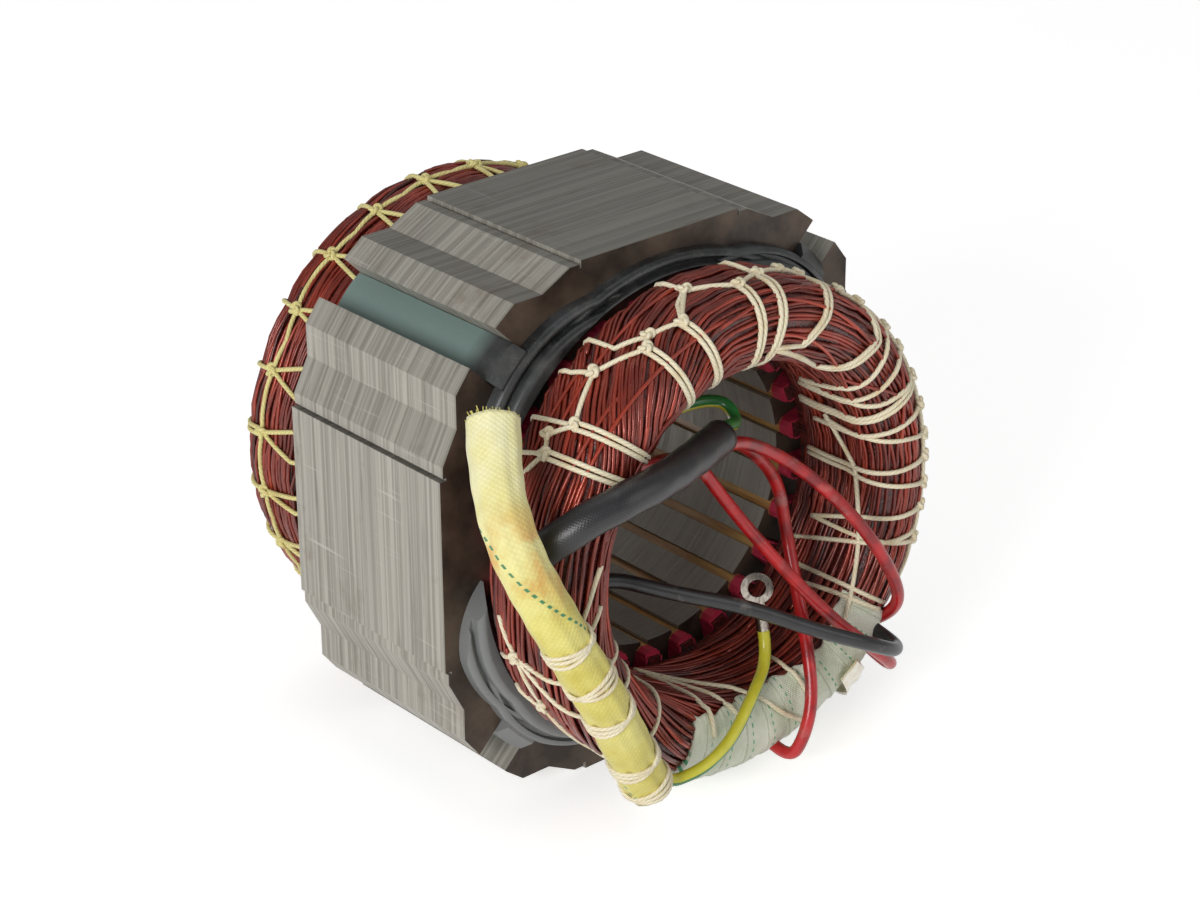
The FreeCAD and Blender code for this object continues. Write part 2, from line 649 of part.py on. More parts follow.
bandage = new_body("head_tape")
wrap = upright(bandage, "(Sizes.tape_from + Sizes.tape_to) / 2")
OVER = "Sizes.lace_gap + Sizes.tape_wall"
SWOLLEN = "Sizes.head_outer + Sizes.joint_bulge"
outline(wrap, [
    ("Sizes.head_outer + Sizes.lace_gap", off_face(-1, "Sizes.tape_outer_foot")),
    (SWOLLEN, off_face(-1, "Sizes.tape_outer_foot + 2 * Sizes.joint_bulge")),
    (SWOLLEN, off_face(-1, "%s + %s - Sizes.tape_round" % (FRONT, OVER)), "-Sizes.tape_round"),
    (SWOLLEN + " - Sizes.tape_round", off_face(-1, "%s + %s" % (FRONT, OVER))),
    ("Sizes.head_inner + Sizes.head_round", off_face(-1, "%s + %s" % (FRONT, OVER)),
     "-(Sizes.head_round + %s)" % OVER),
    ("Sizes.head_inner - (%s)" % OVER, off_face(-1, "%s - Sizes.head_round" % FRONT)),
    ("Sizes.head_inner - (%s)" % OVER, off_face(-1, "Sizes.tape_inner_foot")),
    ("Sizes.head_inner - Sizes.lace_gap", off_face(-1, "Sizes.tape_inner_foot")),
    ("Sizes.head_inner - Sizes.lace_gap", off_face(-1, "%s - Sizes.head_round" % FRONT),
     "Sizes.head_round + Sizes.lace_gap"),
    ("Sizes.head_inner + Sizes.head_round", off_face(-1, "%s + Sizes.lace_gap" % FRONT)),
    ("Sizes.head_outer - Sizes.head_round", off_face(-1, "%s + Sizes.lace_gap" % FRONT),
     "Sizes.head_round + Sizes.lace_gap"),
    ("Sizes.head_outer + Sizes.lace_gap", off_face(-1, "%s - Sizes.head_round" % FRONT)),
])
turned(bandage, wrap, angle="Sizes.tape_to - Sizes.tape_from", midplane=True)

# ------------------------------------------------------------------------------------------------
# Sleeves and leads
# ------------------------------------------------------------------------------------------------


def centre_line(points):
    """A wire of straight runs joined by tangent arcs, its length and its tightest radius."""
    edges = []
    length = 0.0
    tightest = 1e9
    here = points[0]
    for i in range(1, len(points) - 1):
        back = points[i - 1] - points[i]
        ahead = points[i + 1] - points[i]
        shorter = min(back.Length, ahead.Length)
        turn = math.pi - back.getAngle(ahead)
        cut = 0.45 * shorter
        radius = cut / math.tan(turn / 2)
        start = points[i] + back.normalize() * cut
        stop = points[i] + ahead.normalize() * cut
        bisector = (back + ahead).normalize()
        middle = points[i] + bisector * (radius / math.cos(turn / 2) - radius)
        edges.append(Part.LineSegment(here, start).toShape())
        edges.append(Part.Arc(start, middle, stop).toShape())
        length += (start - here).Length + radius * turn
        tightest = min(tightest, radius)
        here = stop
    edges.append(Part.LineSegment(here, points[-1]).toShape())
    length += (points[-1] - here).Length
    return Part.Wire(edges), length, tightest


def swept(wire, radius, points):
    """A round bar along a wire."""
    ring = Part.Wire([Part.makeCircle(radius, points[0], points[1] - points[0])])
    shell = Part.BRepOffsetAPI.MakePipeShell(wire)
    shell.setFrenetMode(False)
    shell.add(ring, False, False)
    shell.build()
    shell.makeSolid()
    return shell.shape()


def tube(label, points, outer, wall=0.0):
    """A cord or a hollow sleeve along hand-chosen points, placed at its first point."""
    first = points[0]
    local = [point - first for point in points]
    wire, length, tightest = centre_line(local)
    shape = swept(wire, outer / 2, local)
    section = math.pi * outer ** 2 / 4
    if wall:
        bore_size = outer - 2 * wall
        shape = shape.cut(swept(wire, bore_size / 2, local))
        section -= math.pi * bore_size ** 2 / 4
    feature = DOC.addObject("Part::Feature", label)
    feature.Label = label
    feature.Shape = shape
    feature.Placement = Placement(first, Rotation())
    share = shape.Volume / (section * length)
    print("%s: %.0f mm long, tightest radius %.1f mm, volume %.4f of section x length"
          % (label, length, tightest, share))
    if abs(share - 1) > 0.01:
        raise ValueError("%s is not swept whole" % label)
    return feature


def vectors(rows):
    return [Vector(*row) for row in rows]


def beside(point, along, side, angle, radius):
    """A point set off from a centre line, at an angle in the plane across it."""
    up = side.cross(along).normalize()
    turn = math.radians(angle)
    return point + side * (radius * math.cos(turn)) + up * (radius * math.sin(turn))


YELLOW = vectors([
    (-45.3, -78.5, -58.7), (-61.8, -82.3, -28.5), (-73.6, -81.0, -6.0), (-83.2, -78.5, 12.9),
    (-88.2, -73.5, 28.8), (-84.6, -63.0, 41.0), (-76.6, -52.5, 53.5),
])
tube("yellow_sleeve", YELLOW, size("yellow_sleeve_round"), size("yellow_sleeve_wall"))

BLACK = vectors([
    (-77.7, -62.2, 13.4), (-74.2, -70.0, 21.5), (-64.7, -77.2, 29.8), (-51.6, -81.0, 33.9),
    (-30.9, -76.0, 32.7), (-7.5, -66.0, 31.7),
])
tube("black_sleeve", BLACK, size("black_sleeve_round"), size("black_sleeve_wall"))

# Three leads leave the black sleeve's mouth side by side.
mouth = BLACK[-1]
along = (BLACK[-1] - BLACK[-2]).normalize()
across = along.cross(Vector(0, 0, 1)).normalize()
nest = size("black_sleeve_round") / 2 - size("black_sleeve_wall") - size("red_round") / 2 - 0.3


def from_mouth(angle, rows):
    """A lead's route: its start inside the sleeve's mouth, then its own points."""
    inner = beside(mouth - along * 9, along, across, angle, nest)
    outer = beside(mouth + along * 3, along, across, angle, nest)
    return [inner, outer] + vectors(rows)


tube("red_lead_1", from_mouth(-30, [
    (15.8, -64.0, 19.0), (29.3, -70.0, 6.5), (41.1, -77.0, -9.9), (50.8, -80.5, -28.1),
    (53.5, -76.2, -41.5),
]), size("red_round"))
tube("red_lead_2", vectors([
    (-40.4, -52.0, 31.6), (-29.9, -52.0, 23.4), (-8.5, -55.0, 23.5), (3.6, -58.0, 4.2),
    (13.0, -66.5, -12.0), (28.1, -75.5, -33.5), (39.7, -80.0, -45.1), (51.6, -79.5, -56.1),
    (51.5, -74.5, -57.5),
]), size("red_round"))
tube("red_lead_3", from_mouth(210, [
    (11.0, -58.0, 20.3), (27.1, -54.0, 3.6), (30.4, -54.5, -14.1), (27.0, -63.0, -29.2),
    (20.9, -74.0, -41.7), (17.2, -80.3, -54.8), (13.2, -81.0, -65.6), (11.2, -77.0, -72.3),
]), size("red_round"))
tube("green_lead", from_mouth(90, [
    (5.1, -60.0, 29.6), (6.3, -54.5, 34.1), (0.6, -50.0, 35.0), (-12.0, -48.5, 34.5),
    (-25.3, -48.0, 34.8), (-30.2, -48.0, 41.5),
]), size("earth_round"))
tube("black_lead", vectors([
    (-50.9, -52.0, -6.7), (-39.7, -52.0, -5.2), (-24.0, -64.0, -11.7), (-2.7, -72.0, -20.3),
    (17.0, -80.5, -31.7), (33.3, -87.0, -39.6), (45.6, -86.0, -46.8), (47.5, -78.5, -43.6),
]), size("black_round"))

# ------------------------------------------------------------------------------------------------
# Ring terminal on the earth lead
# ------------------------------------------------------------------------------------------------

terminal = new_body("ring_terminal")
plate = new_sketch(terminal, "XY_Plane")
circle(plate, "Sizes.eye_round / 2")
circle(plate, "Sizes.eye_hole / 2")
pad(terminal, plate, "Sizes.eye_thick")
BARREL_START = "Sizes.eye_round / 2 + Sizes.neck_long"
neck = new_sketch(terminal, "XY_Plane")
outline(neck, [
    ("(Sizes.eye_hole + Sizes.eye_round) / 4", "-Sizes.neck_wide / 2"),
    (BARREL_START + " + Sizes.eye_thick", "-Sizes.neck_wide / 2"),
    (BARREL_START + " + Sizes.eye_thick", "Sizes.neck_wide / 2"),
    ("(Sizes.eye_hole + Sizes.eye_round) / 4", "Sizes.neck_wide / 2"),
])
pad(terminal, neck, "Sizes.eye_thick")
barrel = new_sketch(terminal, "XY_Plane")
BARREL_END = BARREL_START + " + Sizes.barrel_long"
outline(barrel, [
    (BARREL_START, "0"),
    (BARREL_END, "0"),
    (BARREL_END, "Sizes.barrel_round / 2"),
    (BARREL_START + " + Sizes.eye_thick", "Sizes.barrel_round / 2"),
    (BARREL_START, "Sizes.eye_thick / 2"),
])
crimp = turned(terminal, barrel)
crimp.ReferenceAxis = (datum(terminal, "X_Axis"), [""])

EYE = Vector(12.7, -61.0, -24.3)
TOWARDS_BARREL = Vector(0.012, -0.218, -0.976)
FACING = Vector(-0.650, -0.743, 0.158)
terminal.Placement = Placement(EYE, Rotation(TOWARDS_BARREL, Vector(), FACING, "XZY"))
pointing = terminal.Placement.Rotation.multVec(Vector(1, 0, 0))
crimped = EYE + pointing * number(BARREL_END)

leaving = (YELLOW[0] - YELLOW[1]).normalize()
flat = leaving.cross(Vector(0, 0, 1)).normalize()
aside = size("yellow_sleeve_round") / 2 - size("yellow_sleeve_wall") - size("earth_round") / 2 - 0.7
tube("earth_lead", [
    beside(YELLOW[0] - leaving * 9, leaving, flat, 72, aside),
    beside(YELLOW[0] + leaving * 4.6, leaving, flat, 72, aside),
] + vectors([
    (-29.6, -82.3, -59.0), (-20.5, -81.5, -56.9), (-12.7, -79.5, -54.1), (-1.8, -75.0, -48.1),
]) + [crimped + pointing * 9, crimped], size("earth_round"))

# ------------------------------------------------------------------------------------------------
# Lacing that ties the yellow sleeve to the head
# ------------------------------------------------------------------------------------------------

TIES_AT = (3.0, 14.0, 36.0, 50.0, 64.0)
sleeve_line, sleeve_long = centre_line(YELLOW)[:2]
steps_along = sleeve_line.discretize(Number=401)
inner_radius = size("yellow_sleeve_round") / 2 + size("tie_gap")
outer_radius = inner_radius + size("lace_thick")
tie_wide = 1.6 * size("lace_wide")
rings = []
for distance in TIES_AT:
    index = round(distance / sleeve_long * 400)
    ahead = (steps_along[index + 1] - steps_along[index]).normalize()
    base = steps_along[index] - ahead * (tie_wide / 2)
    ring = Part.makeCylinder(outer_radius, tie_wide, base, ahead)
    rings.append(ring.cut(Part.makeCylinder(inner_radius, tie_wide, base, ahead)))
ties = DOC.addObject("Part::Feature", "sleeve_ties")
ties.Label = "sleeve_ties"
ties.Shape = Part.makeCompound(rings)
ties.Placement = Placement(Vector(0, 0, 0), Rotation())

# ------------------------------------------------------------------------------------------------
# Checks and export
# ------------------------------------------------------------------------------------------------

DOC.recompute()
for thing in DOC.Objects:
    if "Invalid" in thing.State or "Error" in thing.State:
        raise RuntimeError("%s is not sound: %s" % (thing.Label, thing.State))

NODES = [
    "lamination_stack", "guide_ring", "slot_liners", "slot_wedges", "main_winding",
    "auxiliary_winding", "front_lacing", "rear_lacing", "head_tape", "sleeve_ties",
    "yellow_sleeve", "black_sleeve", "red_lead_1", "red_lead_2", "red_lead_3", "green_lead",
    "black_lead", "earth_lead", "ring_terminal",
]
os.makedirs("parts", exist_ok=True)
for label in NODES:
    found = DOC.getObjectsByLabel(label)[0]
    shape = found.Shape
    if shape.isNull() or not shape.isValid():
        raise RuntimeError(label + " has no valid shape")
    shape.exportStep(os.path.join("parts", label + ".step"))
    print("%-18s %3d solids %9.0f mm3" % (label, len(shape.Solids), shape.Volume))
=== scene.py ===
import math
import random

import bpy
from mathutils import Matrix, Vector


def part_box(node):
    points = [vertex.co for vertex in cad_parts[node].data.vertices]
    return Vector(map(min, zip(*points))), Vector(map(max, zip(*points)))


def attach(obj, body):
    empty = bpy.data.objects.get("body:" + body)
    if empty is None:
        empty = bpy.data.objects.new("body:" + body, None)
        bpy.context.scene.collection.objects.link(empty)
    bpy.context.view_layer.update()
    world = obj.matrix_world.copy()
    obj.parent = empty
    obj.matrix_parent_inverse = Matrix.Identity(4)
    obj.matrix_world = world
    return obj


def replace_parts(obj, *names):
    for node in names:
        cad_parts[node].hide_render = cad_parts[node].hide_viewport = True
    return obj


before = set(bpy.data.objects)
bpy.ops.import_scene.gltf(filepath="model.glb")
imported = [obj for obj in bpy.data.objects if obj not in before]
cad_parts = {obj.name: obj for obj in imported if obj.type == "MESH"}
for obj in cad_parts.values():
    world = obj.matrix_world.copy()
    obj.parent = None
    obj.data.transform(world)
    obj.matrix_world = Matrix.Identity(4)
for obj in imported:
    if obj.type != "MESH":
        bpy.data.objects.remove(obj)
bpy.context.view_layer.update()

# Dressing of a wound stator stack: strands and lacing on both winding heads, the bandage over the
# joints, the sleeves and leads, and the finish of every CAD part. Lengths in metres, and in
# millimetres times MM. Angles run round the bore axis from +X towards +Z.

MM = 0.001
DICE = random.Random(24)

# ------------------------------------------------------------------------------------------------
# Driving sizes
# ------------------------------------------------------------------------------------------------

STACK_LOW, STACK_HIGH = [Vector(corner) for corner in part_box("lamination_stack")]
HEADS_LOW, HEADS_HIGH = [Vector(corner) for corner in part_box("main_winding")]
FACE = STACK_HIGH.y
BENCH = STACK_LOW.z
FRONT, REAR = -1, 1
CREST = {FRONT: -HEADS_LOW.y - FACE, REAR: HEADS_HIGH.y - FACE}
HEAD_OUTER = HEADS_HIGH.x
HEAD_INNER = 51.5 * MM
FOOT_RADIUS = 62.5 * MM
FOOT_GAP = 5.2 * MM
SWELL_AT = 12.0 * MM
CREST_ROUND = 9.0 * MM

WIRE = 1.15 * MM
CORD = 0.72 * MM
RED = 3.8 * MM
BLACK_LEAD = 4.4 * MM
EARTH = 3.6 * MM
YELLOW_SLEEVE = 14.0 * MM
YELLOW_WALL = 0.9 * MM
BLACK_SLEEVE = 10.2 * MM
BLACK_WALL = 0.6 * MM


def at(x, y, z):
    """A point given in millimetres."""
    return Vector((x * MM, y * MM, z * MM))


def smooth(value):
    """Eases from 0 to 1."""
    value = min(max(value, 0.0), 1.0)
    return value * value * (3 - 2 * value)


# ------------------------------------------------------------------------------------------------
# Camera
# ------------------------------------------------------------------------------------------------


def set_camera(place, azimuth, elevation, roll, lens):
    around, lift, tilt = (math.radians(angle) for angle in (azimuth, elevation, roll))
    ahead = Vector((math.cos(lift) * math.sin(around), math.cos(lift) * math.cos(around),
                    math.sin(lift)))
    right = ahead.cross(Vector((0, 0, 1))).normalized()
    down = ahead.cross(right)
    level = right * math.cos(tilt) + down * math.sin(tilt)
    plumb = down * math.cos(tilt) - right * math.sin(tilt)
    data = bpy.data.cameras.new("camera")
    data.lens = lens
    data.sensor_width = 36.0
    camera = bpy.data.objects.new("camera", data)
    bpy.context.scene.collection.objects.link(camera)
    turn = Matrix((level, -plumb, -ahead)).transposed().to_4x4()
    camera.matrix_world = Matrix.Translation(place) @ turn
    bpy.context.scene.camera = camera


set_camera(Vector((-0.5410, -0.6264, 0.3940)), 41.15, -25.34, 0.33, 93.24)

# ------------------------------------------------------------------------------------------------
# Shader helpers
# ------------------------------------------------------------------------------------------------


def shade(red, green, blue):
    """A display colour, 0 to 255, as the linear colour that a shader takes."""
    linear = []
    for level in (red, green, blue):
        level /= 255
        linear.append(level / 12.92 if level < 0.04045 else ((level + 0.055) / 1.055) ** 2.4)
    return (*linear, 1.0)


def add(tree, kind, inputs=None, **settings):
    """A node with its settings, each input given a value or linked from another's output."""
    made = tree.nodes.new(kind)
    for name, value in settings.items():
        setattr(made, name, value)
    for name, value in (inputs or {}).items():
        if isinstance(value, bpy.types.NodeSocket):
            tree.links.new(value, made.inputs[name])
        else:
            made.inputs[name].default_value = value
    return made


def sum_of(tree, operation, first, second=0.0):
    return add(tree, "ShaderNodeMath", {0: first, 1: second}, operation=operation).outputs[0]


def between(tree, mask, under, over, how="MIX"):
    """Colour under, with colour over laid on it where the mask is 1."""
    return add(tree, "ShaderNodeMix", {0: mask, 6: under, 7: over}, data_type="RGBA",
               blend_type=how).outputs[2]


def spread(tree, value, low, high, to_low=0.0, to_high=1.0):
    """Stretches a value from one range to another, and clamps it."""
    return add(tree, "ShaderNodeMapRange", {0: value, 1: low, 2: high, 3: to_low, 4: to_high},
               clamp=True).outputs[0]


def place_of(tree, stretch=(1.0, 1.0, 1.0)):
    """Place on the object in metres, stretched along its axes."""
    where = add(tree, "ShaderNodeTexCoord").outputs["Object"]
    return add(tree, "ShaderNodeMapping", {"Vector": where, "Scale": stretch}).outputs[0]


def noise(tree, where, scale, detail=3.0, rough=0.55):
    return add(tree, "ShaderNodeTexNoise", {"Vector": where, "Scale": scale, "Detail": detail,
                                            "Roughness": rough}).outputs["Fac"]


def new_group(name, inputs, outputs):
    """A node group with plain value inputs, and its own input and output nodes."""
    group = bpy.data.node_groups.new(name, "ShaderNodeTree")
    for label, value in inputs:
        socket = group.interface.new_socket(label, in_out="INPUT", socket_type="NodeSocketFloat")
        socket.default_value = value
    for label, kind in outputs:
        group.interface.new_socket(label, in_out="OUTPUT", socket_type=kind)
    given = group.nodes.new("NodeGroupInput")
    wanted = group.nodes.new("NodeGroupOutput")
    return group, given.outputs, wanted.inputs


def make_dust():
    """Patches and specks, as masks: dust on most parts, and faded patches and painted glints on
    the wire.
    """
    group, given, wanted = new_group(
        "dust", [("Scale", 60.0), ("Amount", 0.5)],
        [("Patches", "NodeSocketFloat"), ("Specks", "NodeSocketFloat")])
    where = place_of(group)
    cloud = noise(group, where, given["Scale"], 5.0, 0.65)
    edge = sum_of(group, "SUBTRACT", 0.75, sum_of(group, "MULTIPLY", given["Amount"], 0.4))
    rise = sum_of(group, "MULTIPLY", sum_of(group, "SUBTRACT", cloud, edge), 6.0)
    group.links.new(add(group, "ShaderNodeClamp", {"Value": rise}).outputs[0], wanted["Patches"])
    cells = add(group, "ShaderNodeTexVoronoi", {
        "Vector": where, "Scale": sum_of(group, "MULTIPLY", given["Scale"], 9.0)})
    group.links.new(spread(group, cells.outputs["Distance"], 0.06, 0.16, 1.0, 0.0),
                    wanted["Specks"])
    return group


def make_braid():
    """Threads that cross round a tube or over a tape, from the length along it and the turn."""
    group, given, wanted = new_group(
        "braid", [("Pitch", 1.2), ("Threads", 24.0)],
        [("Height", "NodeSocketFloat"), ("Gaps", "NodeSocketFloat")])
    spread_out = add(group, "ShaderNodeTexCoord").outputs["UV"]
    parts = add(group, "ShaderNodeSeparateXYZ", {0: spread_out}).outputs
    along = sum_of(group, "DIVIDE", parts[0], given["Pitch"])
    around = sum_of(group, "MULTIPLY", parts[1], given["Threads"])
    ridges = []
    for sign in ("ADD", "SUBTRACT"):
        phase = sum_of(group, "MULTIPLY", sum_of(group, sign, along, around), math.pi)
        ridges.append(sum_of(group, "ABSOLUTE", sum_of(group, "SINE", phase)))
    height = sum_of(group, "MULTIPLY", ridges[0], ridges[1])
    group.links.new(height, wanted["Height"])
    group.links.new(spread(group, height, 0.0, 0.16, 1.0, 0.0), wanted["Gaps"])
    return group


def make_twist():
    """The lay of a twisted cord, as a height."""
    group, given, wanted = new_group("twist", [("Pitch", 1.6), ("Strands", 3.0)],
                                     [("Height", "NodeSocketFloat")])
    spread_out = add(group, "ShaderNodeTexCoord").outputs["UV"]
    parts = add(group, "ShaderNodeSeparateXYZ", {0: spread_out}).outputs
    along = sum_of(group, "DIVIDE", parts[0], given["Pitch"])
    around = sum_of(group, "MULTIPLY", parts[1], given["Strands"])
    phase = sum_of(group, "MULTIPLY", sum_of(group, "ADD", along, around), 2 * math.pi)
    rise = sum_of(group, "MULTIPLY", sum_of(group, "SINE", phase), 0.5)
    group.links.new(sum_of(group, "ADD", rise, 0.5), wanted["Height"])
    return group


DUST_AND_GLINTS = make_dust()
BRAID = make_braid()
TWIST = make_twist()


def use(tree, group, **values):
    made = tree.nodes.new("ShaderNodeGroup")
    made.node_tree = group
    for name, value in values.items():
        made.inputs[name].default_value = value
    return made.outputs


def new_material(name, roughness=0.5, **sockets):
    """A material with its shader, whose plain numbers are set on the shader's own sockets."""
    material = bpy.data.materials.new(name)
    material.use_nodes = True
    tree = material.node_tree
    shader = tree.nodes["Principled BSDF"]
    shader.inputs["Roughness"].default_value = roughness
    for socket, value in sockets.items():
        shader.inputs[socket.replace("_", " ")].default_value = value
    return material, tree, shader.inputs


def rise_of(tree, height, strength, depth):
    return add(tree, "ShaderNodeBump", {"Height": height, "Strength": strength,
                                        "Distance": depth}).outputs[0]


# ------------------------------------------------------------------------------------------------
# Materials
# ------------------------------------------------------------------------------------------------


def make_lamination():
    """Sheared sheet edges in bands, rust and scratches, painted shade on top faces, varnish on the
    end faces.
    """
    material, tree, shader = new_material("lamination", 0.5, Metallic=0.35)
    link = tree.links.new
    facing = add(tree, "ShaderNodeSeparateXYZ", {
        0: add(tree, "ShaderNodeNewGeometry").outputs["Normal"]}).outputs
    bands = noise(tree, place_of(tree, (6.0, 1000.0, 6.0)), 1.0, 2.0)
    streaks = noise(tree, place_of(tree, (22.0, 420.0, 22.0)), 1.0, 3.0, 0.7)
    scratches = noise(tree, place_of(tree, (900.0, 30.0, 900.0)), 1.0, 2.0)
    colour = between(tree, spread(tree, bands, 0.35, 0.65), shade(138, 134, 125),
                     shade(172, 168, 158))
    colour = between(tree, spread(tree, streaks, 0.58, 0.8, 0.0, 0.8), colour, shade(98, 92, 83))
    colour = between(tree, spread(tree, scratches, 0.66, 0.74, 0.0, 0.6), colour,
                     shade(188, 186, 178))
    dust = use(tree, DUST_AND_GLINTS, Scale=38.0, Amount=0.45)
    colour = between(tree, spread(tree, dust["Patches"], 0.0, 1.0, 0.0, 0.5), colour,
                     shade(104, 80, 58))
    # Painted shade: faces that point up are darkened, standing in for the weaker light on the top
    # flat.
    top = spread(tree, facing[2], 0.9, 0.98, 0.0, 0.5)
    colour = between(tree, top, colour, shade(76, 74, 70))
    place = add(tree, "ShaderNodeSeparateXYZ", {0: place_of(tree)}).outputs
    reach = add(tree, "ShaderNodeVectorMath", {
        0: add(tree, "ShaderNodeCombineXYZ", {0: place[0], 2: place[2]}).outputs[0]},
        operation="LENGTH").outputs["Value"]
    teeth = spread(tree, reach, 0.047, 0.049, 1.0, 0.0)
    slots = sum_of(tree, "SUBTRACT", spread(tree, reach, 0.066, 0.070, 1.0, 0.0), teeth)
    colour = between(tree, slots, colour, shade(74, 60, 50))
    colour = between(tree, sum_of(tree, "MULTIPLY", teeth, 0.6), colour, shade(160, 156, 148))
    ends = spread(tree, sum_of(tree, "ABSOLUTE", facing[1]), 0.85, 0.95)
    stain = noise(tree, place_of(tree), 55.0, 5.0)
    varnish = between(tree, spread(tree, stain, 0.4, 0.65), shade(52, 42, 35), shade(96, 81, 68))
    link(between(tree, ends, colour, varnish), shader["Base Color"])
    link(spread(tree, streaks, 0.3, 0.7, 0.38, 0.62), shader["Roughness"])
    link(rise_of(tree, bands, 0.5, 0.25 * MM), shader["Normal"])
    return material


def make_ring():
    """Moulded ring: black grey, painted paler towards the lower left as a reflection of the white
    floor, a little dusty, grey-green legs.
    """
    material, tree, shader = new_material("ring", 0.34, Specular_IOR_Level=0.5)
    link = tree.links.new
    place = add(tree, "ShaderNodeSeparateXYZ", {0: place_of(tree)}).outputs
    cloud = noise(tree, place_of(tree), 70.0, 5.0, 0.6)
    colour = between(tree, spread(tree, cloud, 0.4, 0.62), shade(30, 31, 32), shade(58, 60, 61))
    # Painted reflection: paler grey towards -X and -Z, where the ring reflects the white floor.
    lower = sum_of(tree, "ADD", sum_of(tree, "MULTIPLY", place[0], -0.7),
                   sum_of(tree, "MULTIPLY", place[2], -0.7))
    colour = between(tree, spread(tree, lower, -0.01, 0.075, 0.0, 0.85), colour,
                     shade(128, 130, 129))
    legs = spread(tree, place[1], 0.005 - FACE, 0.012 - FACE)
    colour = between(tree, legs, colour, shade(112, 132, 127))
    dust = use(tree, DUST_AND_GLINTS, Scale=110.0, Amount=0.6)
    colour = between(tree, spread(tree, dust["Patches"], 0.0, 1.0, 0.0, 0.1), colour,
                     shade(150, 147, 138))
    colour = between(tree, spread(tree, dust["Specks"], 0.0, 1.0, 0.0, 0.3), colour,
                     shade(170, 166, 154))
    link(colour, shader["Base Color"])
    link(spread(tree, cloud, 0.3, 0.7, 0.26, 0.44), shader["Roughness"])
    link(rise_of(tree, cloud, 0.12, 0.3 * MM), shader["Normal"])
    return material


def make_liner():
    """Slot film, magenta and creased."""
    material, tree, shader = new_material("liner", 0.32, Specular_IOR_Level=0.5)
    creases_and_shade = noise(tree, place_of(tree, (1.0, 0.35, 1.0)), 420.0, 3.0)
    # Painted shade: the same noise as the creases darkens the film in its folds and lightens it on
    # their crowns.
    colour = between(tree, spread(tree, creases_and_shade, 0.35, 0.7), shade(168, 26, 66),
                     shade(226, 74, 100))
    tree.links.new(colour, shader["Base Color"])
    tree.links.new(rise_of(tree, creases_and_shade, 0.7, 0.4 * MM), shader["Normal"])
    return material


def make_wedge():
    """Amber slot wedges, streaked along the slot, their ends under folded magenta film."""
    material, tree, shader = new_material("wedge", 0.28, Coat_Weight=0.3)
    grain = noise(tree, place_of(tree, (1.0, 0.08, 1.0)), 700.0, 3.0)
    colour = between(tree, spread(tree, grain, 0.35, 0.68), shade(168, 118, 62),
                     shade(206, 164, 100))
    place = add(tree, "ShaderNodeSeparateXYZ", {0: place_of(tree)}).outputs
    outside = spread(tree, sum_of(tree, "ABSOLUTE", place[1]), FACE, FACE + 0.6 * MM)
    colour = between(tree, outside, colour, shade(206, 54, 84))
    tree.links.new(colour, shader["Base Color"])
    tree.links.new(rise_of(tree, grain, 0.3, 0.2 * MM), shader["Normal"])
    return material


def make_core():
    """Wire under the strands, its enamel darkened as painted shade, seen where the strands part
    and in the necks.
    """
    material, tree, shader = new_material("winding_core", 0.36, Coat_Weight=0.4)
    grooves = noise(tree, place_of(tree, (1.0, 0.06, 1.0)), 1100.0, 2.0)
    # Painted shade: dark reds, darkest in the grooves, stand in for the shade between and under
    # the strands.
    colour = between(tree, spread(tree, grooves, 0.35, 0.66), shade(40, 12, 12),
                     shade(104, 34, 26))
    tree.links.new(colour, shader["Base Color"])
    tree.links.new(rise_of(tree, grooves, 0.9, 0.5 * MM), shader["Normal"])
    return material


def make_wire():
    """Enamelled wire, whose shade differs from strand to strand, with faded patches and painted
    glints.
    """
    material, tree, shader = new_material("wire", 0.36, Metallic=0.3, Coat_Weight=0.28,
                                          Coat_Roughness=0.2)
    tone = add(tree, "ShaderNodeAttribute", attribute_name="tone").outputs["Fac"]
    patches = noise(tree, place_of(tree), 75.0, 4.0)
    colour = between(tree, tone, shade(68, 20, 15), shade(170, 60, 38))
    colour = between(tree, spread(tree, patches, 0.42, 0.7, 0.0, 0.6), colour,
                     shade(62, 20, 18))
    # Lighter faded patches, and whitish-pink specks that are painted glints.
    fade_and_glints = use(tree, DUST_AND_GLINTS, Scale=90.0, Amount=0.5)
    colour = between(tree, spread(tree, fade_and_glints["Patches"], 0.0, 1.0, 0.0, 0.2), colour,
                     shade(186, 84, 58))
    colour = between(tree, spread(tree, fade_and_glints["Specks"], 0.0, 1.0, 0.0, 0.35), colour,
                     shade(206, 160, 140))
    tree.links.new(colour, shader["Base Color"])
    tree.links.new(spread(tree, patches, 0.3, 0.7, 0.22, 0.45), shader["Roughness"])
    return material


def make_lacing(name, light, dark, stain):
    """Twisted lacing, varnished in places."""
    material, tree, shader = new_material(name, 0.62, Sheen_Weight=0.15)
    lay = use(tree, TWIST, Pitch=1.7, Strands=3.0)
    blotch = noise(tree, place_of(tree), 160.0, 4.0)
    colour = between(tree, spread(tree, lay["Height"], 0.1, 0.7), dark, light)
    colour = between(tree, spread(tree, blotch, 0.52, 0.72, 0.0, 0.65), colour, stain)
    tree.links.new(colour, shader["Base Color"])
    tree.links.new(rise_of(tree, lay["Height"], 0.3, 0.2 * MM), shader["Normal"])
    return material


